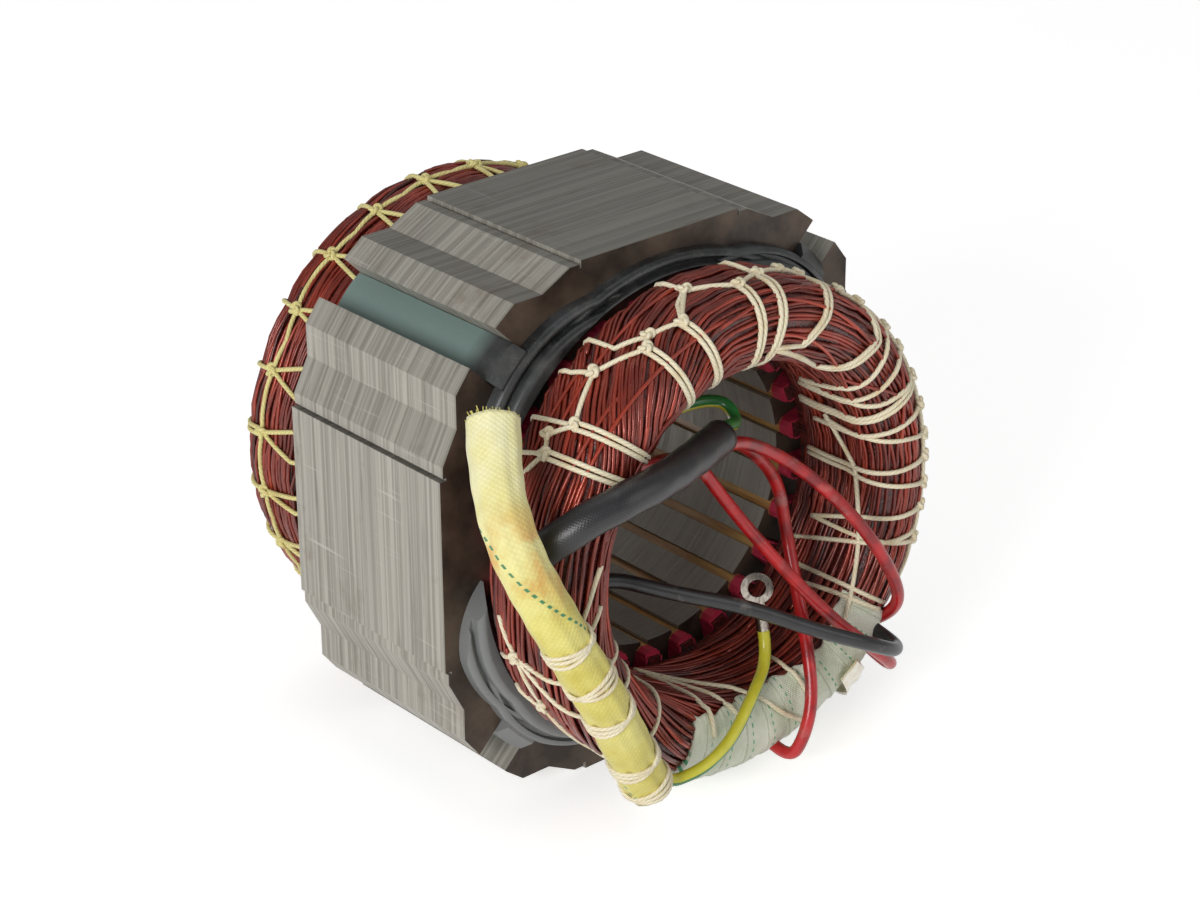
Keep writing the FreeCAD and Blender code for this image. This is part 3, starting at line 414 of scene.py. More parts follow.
def make_tape():
    """Woven glass tape in turns, with a green dashed tracer on each turn."""
    material, tree, shader = new_material("tape", 0.7, Sheen_Weight=0.2)
    weave = use(tree, BRAID, Pitch=0.09, Threads=1.1)
    parts = add(tree, "ShaderNodeSeparateXYZ", {
        0: add(tree, "ShaderNodeTexCoord").outputs["UV"]}).outputs
    across = sum_of(tree, "FRACT", parts[0])
    line = sum_of(tree, "ABSOLUTE", sum_of(tree, "SUBTRACT", across, 0.3))
    tracer = spread(tree, line, 0.02, 0.04, 1.0, 0.0)
    dashes = spread(tree, sum_of(tree, "FRACT", sum_of(tree, "MULTIPLY", parts[1], 0.42)),
                    0.5, 0.56)
    green = sum_of(tree, "MULTIPLY", tracer, dashes)
    cloud = noise(tree, place_of(tree), 90.0, 4.0)
    colour = between(tree, spread(tree, cloud, 0.38, 0.66), shade(234, 237, 218),
                     shade(206, 215, 186))
    edge = spread(tree, across, 0.0, 0.08, 0.6, 0.0)
    colour = between(tree, edge, colour, shade(150, 148, 122))
    colour = between(tree, spread(tree, weave["Gaps"], 0.0, 1.0, 0.0, 0.35), colour,
                     shade(170, 172, 148))
    colour = between(tree, green, colour, shade(84, 168, 120))
    tree.links.new(colour, shader["Base Color"])
    tree.links.new(rise_of(tree, weave["Height"], 0.6, 0.25 * MM), shader["Normal"])
    return material


def make_film():
    """Loose end of film, cream and half see-through."""
    material, tree, shader = new_material("film", 0.24, Transmission_Weight=0.35, IOR=1.45)
    cloud = noise(tree, place_of(tree), 260.0, 3.0)
    colour = between(tree, spread(tree, cloud, 0.4, 0.62), shade(240, 234, 204),
                     shade(218, 200, 150))
    tree.links.new(colour, shader["Base Color"])
    tree.links.new(rise_of(tree, cloud, 0.5, 0.4 * MM), shader["Normal"])
    return material


def make_yellow_sleeve():
    """Braided sleeve, pale yellow, with a green dashed tracer and an orange stain."""
    material, tree, shader = new_material("yellow_sleeve", 0.62, Sheen_Weight=0.25)
    weave = use(tree, BRAID, Pitch=1.5, Threads=22.0)
    parts = add(tree, "ShaderNodeSeparateXYZ", {
        0: add(tree, "ShaderNodeTexCoord").outputs["UV"]}).outputs
    lead = sum_of(tree, "FRACT", sum_of(tree, "ADD", parts[1],
                                        sum_of(tree, "MULTIPLY", parts[0], 0.011)))
    line = sum_of(tree, "ABSOLUTE", sum_of(tree, "SUBTRACT", lead, 0.5))
    dashes = spread(tree, sum_of(tree, "FRACT", sum_of(tree, "MULTIPLY", parts[0], 0.45)),
                    0.45, 0.5)
    green = sum_of(tree, "MULTIPLY", spread(tree, line, 0.008, 0.014, 1.0, 0.0), dashes)
    cloud = noise(tree, place_of(tree), 85.0, 4.0)
    varnish = spread(tree, parts[0], 78.0, 130.0)
    deep = between(tree, varnish, shade(204, 190, 84), shade(232, 224, 158))
    pale = between(tree, varnish, shade(226, 216, 124), shade(240, 236, 196))
    colour = between(tree, spread(tree, cloud, 0.36, 0.66), pale, deep)
    colour = between(tree, spread(tree, weave["Gaps"], 0.0, 1.0, 0.0, 0.18), colour,
                     shade(168, 154, 74))
    near = sum_of(tree, "ABSOLUTE", sum_of(tree, "SUBTRACT", parts[0], 92.0))
    rusty = sum_of(tree, "MULTIPLY", spread(tree, near, 4.0, 17.0, 1.0, 0.0),
                   spread(tree, cloud, 0.44, 0.6))
    colour = between(tree, spread(tree, rusty, 0.0, 1.0, 0.0, 0.6), colour, shade(214, 132, 48))
    colour = between(tree, green, colour, shade(66, 128, 84))
    tree.links.new(colour, shader["Base Color"])
    tree.links.new(rise_of(tree, weave["Height"], 0.35, 0.3 * MM), shader["Normal"])
    return material


def make_black_sleeve():
    """Black varnished sleeve, its fine braid almost filled."""
    material, tree, shader = new_material("black_sleeve", 0.4, Coat_Weight=0.3,
                                          Coat_Roughness=0.3)
    weave = use(tree, BRAID, Pitch=0.9, Threads=26.0)
    colour = between(tree, weave["Height"], shade(18, 18, 20), shade(34, 34, 38))
    dust = use(tree, DUST_AND_GLINTS, Scale=120.0, Amount=0.4)
    colour = between(tree, spread(tree, dust["Patches"], 0.0, 1.0, 0.0, 0.14), colour,
                     shade(112, 108, 102))
    tree.links.new(colour, shader["Base Color"])
    tree.links.new(rise_of(tree, weave["Height"], 0.25, 0.2 * MM), shader["Normal"])
    return material


def make_insulation(name, light, dark, roughness=0.34):
    """Lead insulation, clouded and a little dusty."""
    material, tree, shader = new_material(name, roughness, Coat_Weight=0.25)
    cloud = noise(tree, place_of(tree), 140.0, 4.0)
    colour = between(tree, spread(tree, cloud, 0.4, 0.65), light, dark)
    dust = use(tree, DUST_AND_GLINTS, Scale=150.0, Amount=0.45)
    colour = between(tree, spread(tree, dust["Patches"], 0.0, 1.0, 0.0, 0.22), colour,
                     shade(200, 188, 176))
    tree.links.new(colour, shader["Base Color"])
    tree.links.new(rise_of(tree, cloud, 0.25, 0.3 * MM), shader["Normal"])
    return material


def make_earth(name, turned):
    """Earth lead: green on one side and yellow on the other."""
    material, tree, shader = new_material(name, 0.34, Coat_Weight=0.3)
    parts = add(tree, "ShaderNodeSeparateXYZ", {
        0: add(tree, "ShaderNodeTexCoord").outputs["UV"]}).outputs
    turn = sum_of(tree, "FRACT", sum_of(tree, "ADD", parts[1], turned))
    side = sum_of(tree, "ABSOLUTE", sum_of(tree, "SUBTRACT", turn, 0.5))
    cloud = noise(tree, place_of(tree), 180.0, 3.0)
    yellow = between(tree, cloud, shade(222, 214, 60), shade(184, 180, 40))
    green = between(tree, cloud, shade(46, 132, 58), shade(24, 88, 42))
    tree.links.new(between(tree, spread(tree, side, 0.23, 0.26), yellow, green),
                   shader["Base Color"])
    tree.links.new(rise_of(tree, cloud, 0.2, 0.2 * MM), shader["Normal"])
    return material


def make_tin():
    """Tinned terminal, bright with fine scuffs."""
    material, tree, shader = new_material("tinned", 0.24, Metallic=1.0)
    scuffs = noise(tree, place_of(tree, (1.0, 3.0, 1.0)), 500.0, 4.0)
    colour = between(tree, spread(tree, scuffs, 0.4, 0.68), shade(176, 168, 158),
                     shade(120, 110, 102))
    tree.links.new(colour, shader["Base Color"])
    tree.links.new(spread(tree, scuffs, 0.3, 0.7, 0.16, 0.38), shader["Roughness"])
    tree.links.new(rise_of(tree, scuffs, 0.3, 0.1 * MM), shader["Normal"])
    return material


LAMINATION = make_lamination()
RING = make_ring()
LINER = make_liner()
WEDGE = make_wedge()
CORE = make_core()
WIRE_ENAMEL = make_wire()
LACING = make_lacing("lacing", shade(234, 225, 197), shade(220, 208, 176), shade(212, 188, 140))
REAR_LACING = make_lacing("rear_lacing", shade(224, 214, 146), shade(206, 194, 124),
                          shade(196, 172, 100))
TAPE = make_tape()
FILM = make_film()
YELLOW_BRAID = make_yellow_sleeve()
BLACK_BRAID = make_black_sleeve()
RED_SKIN = make_insulation("red_insulation", shade(186, 26, 30), shade(128, 14, 20))
BLACK_SKIN = make_insulation("black_insulation", shade(30, 30, 34), shade(14, 14, 16), 0.4)
EARTH_SKIN = make_earth("earth_insulation", 0.86)
GREEN_SKIN = make_earth("green_insulation", 0.8)
TIN = make_tin()


def finish_node(name, material):
    """Gives a CAD part its finish."""
    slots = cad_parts[name].data.materials
    if len(slots) == 0:
        slots.append(material)
    for index in range(len(slots)):
        slots[index] = material


for node, material in (
    ("lamination_stack", LAMINATION), ("guide_ring", RING), ("slot_liners", LINER),
    ("slot_wedges", WEDGE), ("main_winding", CORE), ("auxiliary_winding", CORE),
    ("ring_terminal", TIN),
):
    finish_node(node, material)

# ------------------------------------------------------------------------------------------------
# Mesh helpers
# ------------------------------------------------------------------------------------------------


def carried_sides(line, closed=False):
    """Two directions across a line at each of its points, carried along with the least twist."""
    count = len(line)
    found = []
    side = None
    for i in range(count):
        if closed:
            ahead = line[(i + 1) % count] - line[i - 1]
        else:
            ahead = line[min(i + 1, count - 1)] - line[max(i - 1, 0)]
        ahead.normalize()
        if side is None:
            side = ahead.orthogonal()
        side = (side - ahead * side.dot(ahead)).normalized()
        found.append((side, ahead.cross(side)))
    return found


class Made:
    """Tubes, sleeves and strips gathered into one closed mesh."""

    def __init__(self):
        self.points = []
        self.faces = []
        self.spread = []
        self.tones = []

    def face(self, corners, places):
        self.faces.append(corners)
        for place in places:
            self.spread.extend(place)

    def skin(self, start, rows, sides, runs, closed=False, inward=False):
        """Faces between rings of points that lie one after another."""
        for row in range(rows if closed else rows - 1):
            after = (row + 1) % rows
            for k in range(sides):
                beyond = (k + 1) % sides
                corners = [start + row * sides + k, start + row * sides + beyond,
                           start + after * sides + beyond, start + after * sides + k]
                near, far = runs[row], runs[row] + (runs[1] - runs[0]) if closed else runs[after]
                places = [(near, k / sides), (near, (k + 1) / sides),
                          (far, (k + 1) / sides), (far, k / sides)]
                if inward:
                    corners.reverse()
                    places.reverse()
                self.face(corners, places)

    def ring(self, centre, sides, radius, count, tone, form=None):
        side, up = sides
        for k in range(count):
            turn = 2 * math.pi * k / count
            size = radius * (form(turn) if form else 1.0)
            self.points.append(centre + side * (size * math.cos(turn))
                               + up * (size * math.sin(turn)))
            self.tones.append(tone)

    def tube(self, line, radius, sides=8, tone=0.5, closed=False):
        """A round bar along a line; radius is a size, or a function of the share along it."""
        across = carried_sides(line, closed)
        start = len(self.points)
        runs = [0.0]
        for here, there in zip(line, line[1:]):
            runs.append(runs[-1] + (there - here).length / MM)
        for i, centre in enumerate(line):
            size = radius(i / (len(line) - 1)) if callable(radius) else radius
            self.ring(centre, across[i], size, sides, tone)
        self.skin(start, len(line), sides, runs, closed)
        if not closed:
            last = start + (len(line) - 1) * sides
            self.face(list(range(start + sides - 1, start - 1, -1)), [(0.0, 0.0)] * sides)
            self.face(list(range(last, last + sides)), [(runs[-1], 0.0)] * sides)

    def sleeve(self, line, radius, wall, sides, form):
        """An open sleeve with a wall; form scales its radius by distance along in mm and turn."""
        across = carried_sides(line)
        runs = [0.0]
        for here, there in zip(line, line[1:]):
            runs.append(runs[-1] + (there - here).length / MM)
        outer = len(self.points)
        for centre, sided, run in zip(line, across, runs):
            self.ring(centre, sided, radius, sides, 0.5, lambda turn: form(run, turn))
        inner = len(self.points)
        for centre, sided, run in zip(line, across, runs):
            self.ring(centre, sided, radius - wall, sides, 0.1, lambda turn: form(run, turn))
        rows = len(line)
        self.skin(outer, rows, sides, runs)
        self.skin(inner, rows, sides, runs, inward=True)
        for row, first, second in ((0, inner, outer), (rows - 1, outer, inner)):
            for k in range(sides):
                beyond = (k + 1) % sides
                corners = [first + row * sides + k, first + row * sides + beyond,
                           second + row * sides + beyond, second + row * sides + k]
                places = [(runs[row], k / sides), (runs[row], (k + 1) / sides)]
                self.face(corners, places + places[::-1])

    def slab(self, over, under, places):
        """A closed sheet between two grids of points, the upper and the lower one."""
        rows, columns = len(over), len(over[0])
        start = len(self.points)
        for grid in (over, under):
            for row in grid:
                self.points.extend(row)
                self.tones.extend([0.5] * columns)
        step = rows * columns

        def spot(i, j):
            return places[i][j]

        for i in range(rows - 1):
            for j in range(columns - 1):
                a, b = i * columns + j, (i + 1) * columns + j
                corners = [start + a, start + b, start + b + 1, start + a + 1]
                here = [spot(i, j), spot(i + 1, j), spot(i + 1, j + 1), spot(i, j + 1)]
                self.face(corners, here)
                self.face([corner + step for corner in reversed(corners)], here[::-1])
        edge = [(i, 0) for i in range(rows - 1)] + [(rows - 1, j) for j in range(columns - 1)]
        edge += [(i, columns - 1) for i in range(rows - 1, 0, -1)]
        edge += [(0, j) for j in range(columns - 1, 0, -1)]
        for (i, j), (k, m) in zip(edge, edge[1:] + edge[:1]):
            a, b = start + i * columns + j, start + k * columns + m
            self.face([b, a, a + step, b + step],
                      [spot(k, m), spot(i, j), spot(i, j), spot(k, m)])

    def build(self, name, material, slot):
        mesh = bpy.data.meshes.new(name)
        mesh.from_pydata([tuple(point) for point in self.points], [], self.faces)
        mesh.uv_layers.new(name="UVMap").data.foreach_set("uv", self.spread)
        mesh.attributes.new("tone", "FLOAT", "POINT").data.foreach_set("value", self.tones)
        mesh.polygons.foreach_set("use_smooth", [True] * len(self.faces))
        mesh.materials.append(material)
        piece = bpy.data.objects.new(name, mesh)
        bpy.context.scene.collection.objects.link(piece)
        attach(piece, "root")
        return piece


# ------------------------------------------------------------------------------------------------
# The winding heads' form
# ------------------------------------------------------------------------------------------------

SLOPE = math.hypot(HEAD_OUTER - FOOT_RADIUS, SWELL_AT - FOOT_GAP)
BEND = CREST_ROUND * math.pi / 2
TOP_WIDE = HEAD_OUTER - HEAD_INNER - 2 * CREST_ROUND


def section_at(side, along):
    """Radius, height over the stack's face and outward direction, at a distance along the head's
    outline from its outer foot over the crest to its inner foot."""
    crest = CREST[side]
    wall = crest - CREST_ROUND - SWELL_AT
    if along < SLOPE:
        share = along / SLOPE
        rise = (SWELL_AT - FOOT_GAP) / SLOPE
        run = (HEAD_OUTER - FOOT_RADIUS) / SLOPE
        return (FOOT_RADIUS + share * (HEAD_OUTER - FOOT_RADIUS),
                FOOT_GAP + share * (SWELL_AT - FOOT_GAP), rise, -run)
    along -= SLOPE
    if along < wall:
        return HEAD_OUTER, SWELL_AT + along, 1.0, 0.0
    along -= wall
    if along < BEND:
        turn = along / CREST_ROUND
        return (HEAD_OUTER - CREST_ROUND * (1 - math.cos(turn)),
                crest - CREST_ROUND * (1 - math.sin(turn)), math.cos(turn), math.sin(turn))
    along -= BEND
    if along < TOP_WIDE:
        return HEAD_OUTER - CREST_ROUND - along, crest, 0.0, 1.0
    along -= TOP_WIDE
    if along < BEND:
        turn = along / CREST_ROUND
        return (HEAD_INNER + CREST_ROUND * (1 - math.sin(turn)),
                crest - CREST_ROUND * (1 - math.cos(turn)), -math.sin(turn), math.cos(turn))
    return HEAD_INNER, crest - CREST_ROUND - (along - BEND), -1.0, 0.0


def head_long(side):
    """The outline's whole length in millimetres."""
    wall = CREST[side] - CREST_ROUND - SWELL_AT
    inner_wall = CREST[side] - CREST_ROUND - FOOT_GAP
    return (SLOPE + wall + 2 * BEND + TOP_WIDE + inner_wall) / MM


def head_point(side, angle, along, lift=0.0):
    """A point on the head: angle in degrees, distance along its outline and lift in mm."""
    radius, height, out, up = section_at(side, along * MM)
    radius += out * lift * MM
    height += up * lift * MM
    turn = math.radians(angle)
    return Vector((radius * math.cos(turn), side * (FACE + height), radius * math.sin(turn)))


def head_facing(side, angle, along):
    """The direction straight out of the head at a point."""
    return (head_point(side, angle, along, 1.0) - head_point(side, angle, along)).normalized()


# ------------------------------------------------------------------------------------------------
# Strands
# ------------------------------------------------------------------------------------------------

FRONT_KNOTS = [147, 139, 127, 117, 107, 98, 88, 79, 69, 58, 51, 41, 34, 25, 17, 9, 3, -4, -10, -18]
CROSSING = 30.0
CROSS_FROM, CROSS_TO = 152.0, 98.0
RETURN_FROM, RETURN_TO = -60.0, -190.0


def drift(angle):
    """How far the strands have moved outwards: they cross the crest at the upper left and work
    their way back round the bottom."""
    angle = (angle + 200) % 360 - 200
    if angle > CROSS_TO:
        return -CROSSING * smooth((CROSS_FROM - angle) / (CROSS_FROM - CROSS_TO))
    if angle > RETURN_FROM:
        return -CROSSING
    return -CROSSING * (1 - smooth((RETURN_FROM - angle) / (RETURN_FROM - RETURN_TO)))


def swelling(angle, knots):
    """The wire stands out between the lacing loops that hold it down."""
    angle = (angle + 180) % 360 - 180
    gap = min(abs((angle - knot + 180) % 360 - 180) for knot in knots)
    return 0.7 * smooth(gap / 5.0)


FOOT_CLEAR = 6.0
BANDAGE_FROM, BANDAGE_TO = -113.0, -38.0
BANDAGE_FOOT, BANDAGE_END = 12.6, 54.0


def under_bandage(angle, along):
    angle = (angle + 180) % 360 - 180
    return BANDAGE_FROM < angle < BANDAGE_TO and BANDAGE_FOOT < along < BANDAGE_END


def lay_strands(made, side, first, last, pitch, steps, knots, moves, sides=6):
    """Strands round a head between two distances along its outline; those that run off it at a
    foot dive into it."""
    end = head_long(side) - 1.0
    count = int((last - first) / pitch)
    for n in range(count):
        home = first + n * pitch + DICE.uniform(-0.25, 0.25)
        lift = DICE.uniform(-0.12, 0.32)
        tone = min(max(DICE.gauss(0.5, 0.24), 0.0), 1.0)
        waves = [(DICE.uniform(0.12, 0.5), DICE.randint(2, 9), DICE.uniform(0, 2 * math.pi))
                 for _ in range(3)]
        rises = [(DICE.uniform(0.05, 0.3), DICE.randint(3, 14), DICE.uniform(0, 2 * math.pi))
                 for _ in range(2)]
        start = DICE.uniform(0, 360)
        run = []
        runs = []
        whole = True
        for i in range(steps):
            angle = start + 360 * i / steps
            turn = math.radians(angle)
            along = home + moves(angle)
            along += sum(size * math.sin(rate * turn + phase) for size, rate, phase in waves)
            proud = lift + swelling(angle, knots)
            proud += sum(size * math.sin(rate * turn + phase) for size, rate, phase in rises)
            proud -= 1.6 * smooth((2.5 - min(along - FOOT_CLEAR + 1.0, end - along)) / 2.5)
            if side == FRONT and under_bandage(angle, along):
                proud = min(proud, 0.05)
            if FOOT_CLEAR - 1.0 < along < end:
                run.append(head_point(side, angle, along, proud))
            else:
                whole = False
                if run:
                    runs.append(run)
                run = []
        if run:
            runs.append(run)
        for line in runs:
            if whole:
                made.tube(line, WIRE / 2, sides, tone, closed=True)
            elif len(line) > 4:
                made.tube(line, WIRE / 2, sides, tone)


def stray_strands(made, side, count, first_angle, last_angle):
    """Single strands that lie across their neighbours."""
    for _ in range(count):
        start = DICE.uniform(last_angle, first_angle)
        reach = DICE.uniform(25, 70)
        along = DICE.uniform(16, 66)
        shift = DICE.uniform(-14, 14)
        # Painted highlight: strands lying on top get a brighter tone on average than the laid
        # ones.
        tone = DICE.uniform(0.35, 1.0)
        line = []
        steps = 26
        for i in range(steps + 1):
            share = i / steps
            ends = smooth(share / 0.12) * smooth((1 - share) / 0.12)
            here = min(max(along + shift * smooth(share), 5.0), 78.0)
            line.append(head_point(side, start + reach * share, here, -0.8 + 2.0 * ends))
        made.tube(line, WIRE / 2, 6, tone)


REAR_KNOTS = [7.5 + 15 * n for n in range(24)]
HALF_WAY = 44.0

outer_strands = Made()
lay_strands(outer_strands, FRONT, FOOT_CLEAR, HALF_WAY + CROSSING, 1.12, 128, FRONT_KNOTS, drift)
outer_strands.build("front_strands_outer", WIRE_ENAMEL, "enamel")
inner_strands = Made()
lay_strands(inner_strands, FRONT, HALF_WAY + CROSSING, head_long(FRONT) + CROSSING, 1.12, 128,
            FRONT_KNOTS, drift)
stray_strands(inner_strands, FRONT, 26, 170, -30)
inner_strands.build("front_strands_inner", WIRE_ENAMEL, "enamel")
rear_strands = Made()
lay_strands(rear_strands, REAR, FOOT_CLEAR, head_long(REAR) - 1.0, 1.14, 84, REAR_KNOTS,
            lambda angle: 3.0 * math.sin(math.radians(2 * angle)))
stray_strands(rear_strands, REAR, 14, 350, 0)
rear_strands.build("rear_strands", WIRE_ENAMEL, "enamel")

# ------------------------------------------------------------------------------------------------
# Lacing
# ------------------------------------------------------------------------------------------------


TURN_WIDE = 7.5


def bandage_lift(angle, along):
    """Thickness of the bandage: swollen over the joints, in overlapping turns, lumpy."""
    swollen = smooth((along - BANDAGE_FOOT) / 9) * (1 - smooth((along - 27) / 19))
    shoulder = smooth((angle - BANDAGE_FROM) / 10) * smooth((BANDAGE_TO - angle) / 7)
    lumps = 0.5 + 0.5 * math.sin(math.radians(angle * 11) + along * 0.13)
    lumps *= 0.5 + 0.5 * math.sin(math.radians(angle * 5) - along * 0.21)
    turn = (angle + along * 0.07) / TURN_WIDE
    step = 1 - (turn - math.floor(turn))
    crumple = 0.12 * math.sin(along * 0.9 + angle * 0.7) * math.sin(angle * 1.9)
    return 1.25 + 3.7 * swollen * (0.35 + 0.65 * shoulder) * (0.8 + 0.2 * lumps) \
        + 0.8 * step * 0.6 + 0.5 * lumps + crumple


def height_of(side, angle, along, lift):
    """The lacing's height over the wire, or over the bandage where it crosses that."""
    if side == FRONT and under_bandage(angle, along):
        around = (angle + 180) % 360 - 180
        return bandage_lift(around, along) + 0.5
    return lift


def laid_line(side, stops, lift=1.15):
    """A line over the head through stops given as angle and distance along, pressed down at its
    ends and standing a little off between them."""
    line = []
    for (angle, along), (next_angle, next_along) in zip(stops, stops[1:]):
        steps = max(4, int(abs(next_angle - angle) / 1.5 + abs(next_along - along) / 2.0))
        for i in range(steps):
            share = i / steps
            bow = 0.35 * math.sin(math.pi * share)
            here = angle + (next_angle - angle) * share
            there = along + (next_along - along) * share
            line.append(head_point(side, here, there, height_of(side, here, there, lift) + bow))
    last = stops[-1]
    line.append(head_point(side, *last, height_of(side, *last, lift)))
    return line


def lace(made, side, stops, doubled=False, radius=CORD):
    """One run of lacing, or two side by side."""
    shifts = (-1.0, 1.0) if doubled else (0.0,)
    for shift in shifts:
        moved = [(angle + shift * 0.75, along) for angle, along in stops]
        made.tube(laid_line(side, moved), radius, 7, DICE.uniform(0.3, 0.7))


def knot(made, side, angle, along, size=1.7):
    """A small overhand knot, pulled tight against the head."""
    centre = head_point(side, angle, along, 1.9)
    facing = head_facing(side, angle, along)
    right = Vector((-math.sin(math.radians(angle)), 0, math.cos(math.radians(angle))))
    up = facing.cross(right).normalized()
    swing = DICE.uniform(0, math.pi)
    line = []
    for i in range(36):
        turn = 2 * math.pi * i / 36
        across = math.sin(turn) + 2 * math.sin(2 * turn)
        over = math.cos(turn) - 2 * math.cos(2 * turn)
        x = (across * math.cos(swing) - over * math.sin(swing)) / 3
        y = (across * math.sin(swing) + over * math.cos(swing)) / 3
        rise = -0.34 * math.sin(3 * turn)
        line.append(centre + (right * x + up * y + facing * rise) * size * MM)
    made.tube(line, CORD, 7, DICE.uniform(0.3, 0.7), closed=True)


LEFT_CHAIN = [(153, 16), (147, 21), (143, 19), (139, 26), (127, 21), (117, 30), (114, 27),
              (107, 31), (98, 20), (88, 28), (79, 23), (69, 19), (60, 16), (58, 30), (51, 31)]
RIGHT_CHAIN = [(51, 31), (41, 33), (34, 34), (25, 35), (17, 36), (9, 37), (3, 37), (-4, 37),
               (-10, 37), (-18, 38), (-29, 37)]
STUBS = [[(127, 21), (129, 14), (130, 6)], [(114, 27), (120, 21), (121, 6)],
         [(98, 20), (103, 24), (107, 31)], [(147, 21), (149, 12), (150, 4)],
         [(139, 26), (141, 11), (142, 3)], [(98, 20), (99, 9), (99, 3)],
         [(79, 23), (80, 10), (80, 3)], [(60, 16), (60, 8), (60, 3)],
         [(41, 33), (43, 18), (44, 4)], [(25, 35), (27, 18), (28, 4)],
         [(9, 37), (10, 20), (11, 4)], [(-4, 37), (-4, 20), (-4, 4)],
         [(-18, 38), (-19, 20), (-20, 4)]]
SHORT_LOOPS = [[(147, 21), (146, 42), (145, 60), (144, 78)],
               [(139, 26), (137, 50), (136, 64), (135, 78)],
               [(117, 30), (116, 53), (115, 66), (114, 78)],
               [(107, 31), (105, 52), (104, 66), (103, 78)],
               [(88, 28), (90, 48), (91, 64), (92, 78)],
               [(79, 23), (84, 49), (86, 64), (87, 78)]]
LONG_DOUBLES = [[(60, 16), (67, 41), (73, 49), (83, 49)],
                [(51, 31), (45, 40), (50, 51), (58, 56), (82, 50)],
                [(25, 35), (24, 49), (23, 66), (23, 80)]]
LONG_LOOPS = [[(42, 33), (39, 50), (40, 57), (35, 75)], [(25, 35), (28, 50), (32, 57), (32, 77)],
              [(9, 37), (16, 56), (18, 71)], [(3, 37), (3, 65), (3, 80)],
              [(-4, 37), (1, 64), (1, 80)], [(-10, 37), (-13, 56), (-20, 75)],
              [(-19, 38), (-20, 58), (-20, 75)], [(-16, 38), (-29, 79)],
              [(34, 34), (33, 52), (33, 74)], [(17, 36), (17, 52), (16, 76)],
              [(20, 71), (3, 61), (-23, 56), (-48, 51)]]
LOWER_LEFT = [[(-174, 14), (-164, 18)], [(-162, 11), (-164, 18)], [(-164, 18), (-150, 21)],
              [(-164, 18), (-162, 34), (-160, 60), (-160, 80)],
              [(-164, 18), (-151, 35), (-149, 60), (-148, 80)],
              [(-152, 11), (-148, 20), (-132, 25)], [(-178, 42), (168, 47)][:1] + [(-192, 47)],
              [(-174, 44), (-180, 48)], [(-132, 25), (-118, 24)]]
FAN = [[(-112, 80), (-106, 47)], [(-112, 80), (-96, 51)], [(-112, 80), (-71, 37)],
       [(-71, 62), (-70, 45)], [(-37, 75), (-36, 41)], [(-42, 70), (-38, 42)],
       [(-132, 25), (-130, 50), (-129, 80)]]
LOOSE_TAIL = [(25, 35), (21, 31), (19, 26), (15, 24)]

front_lacing = Made()
lace(front_lacing, FRONT, LEFT_CHAIN)
lace(front_lacing, FRONT, RIGHT_CHAIN)
for stops in STUBS + LONG_LOOPS + FAN + LOWER_LEFT + [LOOSE_TAIL]:
    lace(front_lacing, FRONT, stops)
for stops in SHORT_LOOPS + LONG_DOUBLES:
    lace(front_lacing, FRONT, stops, doubled=True)
for angle, along in sorted(set(LEFT_CHAIN[1:] + RIGHT_CHAIN[:-1] + [(-164, 18), (-150, 21)])):
    knot(front_lacing, FRONT, angle, along)
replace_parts(front_lacing.build("laced_front", LACING, "lacing"), "front_lacing")

REAR_CHAIN_AT = 26.0
rear_lacing = Made()
for angle in REAR_KNOTS:
    sway = DICE.uniform(-1.5, 1.5)
    fork = DICE.uniform(2.0, 4.0)
    lace(rear_lacing, REAR, [(angle, REAR_CHAIN_AT), (angle + sway, 45), (angle + sway, 64),
                             (angle, 81)], doubled=DICE.random() < 0.5)
    lace(rear_lacing, REAR, [(angle, REAR_CHAIN_AT), (angle + fork, 12), (angle + fork, 3)])
    lace(rear_lacing, REAR, [(angle, REAR_CHAIN_AT), (angle - fork, 12), (angle - fork, 3)])
    lace(rear_lacing, REAR, [(angle, REAR_CHAIN_AT), (angle + 7.5, REAR_CHAIN_AT + sway),
                             (angle + 15, REAR_CHAIN_AT)])
    knot(rear_lacing, REAR, angle, REAR_CHAIN_AT)
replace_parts(rear_lacing.build("laced_rear", REAR_LACING, "lacing"), "rear_lacing")

# ------------------------------------------------------------------------------------------------
# Bandage over the joints
# ------------------------------------------------------------------------------------------------

def make_bandage():
    made = Made()
    over, under, places = [], [], []
    rows, columns = 150, 64
    for i in range(rows + 1):
        angle = BANDAGE_FROM + (BANDAGE_TO - BANDAGE_FROM) * i / rows
        ragged = 1.6 * math.sin(angle * 0.13) + 0.5 * math.sin(angle * 0.8)
        upper, lower, spots = [], [], []
        for j in range(columns + 1):
            first = BANDAGE_FOOT + ragged
            along = first + (BANDAGE_END + ragged - first) * j / columns
            upper.append(head_point(FRONT, angle, along, bandage_lift(angle, along)))
            lower.append(head_point(FRONT, angle, along, 0.0))
            spots.append(((angle + along * 0.07) / TURN_WIDE, along))
        over.append(upper)
        under.append(lower)
        places.append(spots)
    made.slab(over, under, places)
    return made


# ------------------------------------------------------------------------------------------------
# Leads and sleeves
# ------------------------------------------------------------------------------------------------


def smooth_line(route, steps=16):
    """The smooth line that a cord follows, with its route's points as control points."""
    data = bpy.data.curves.new("route", "CURVE")
    data.dimensions = "3D"
    spline = data.splines.new("NURBS")
    spline.points.add(len(route) - 1)
    for control, place in zip(spline.points, route):
        control.co = (*place, 1.0)
    spline.order_u = 3
    spline.use_endpoint_u = True
    spline.resolution_u = steps
    holder = bpy.data.objects.new("route", data)
    bpy.context.scene.collection.objects.link(holder)
    mesh = bpy.data.meshes.new_from_object(holder)
    line = [vertex.co.copy() for vertex in mesh.vertices]
    bpy.data.objects.remove(holder)
    bpy.data.curves.remove(data)
    bpy.data.meshes.remove(mesh)
    return line


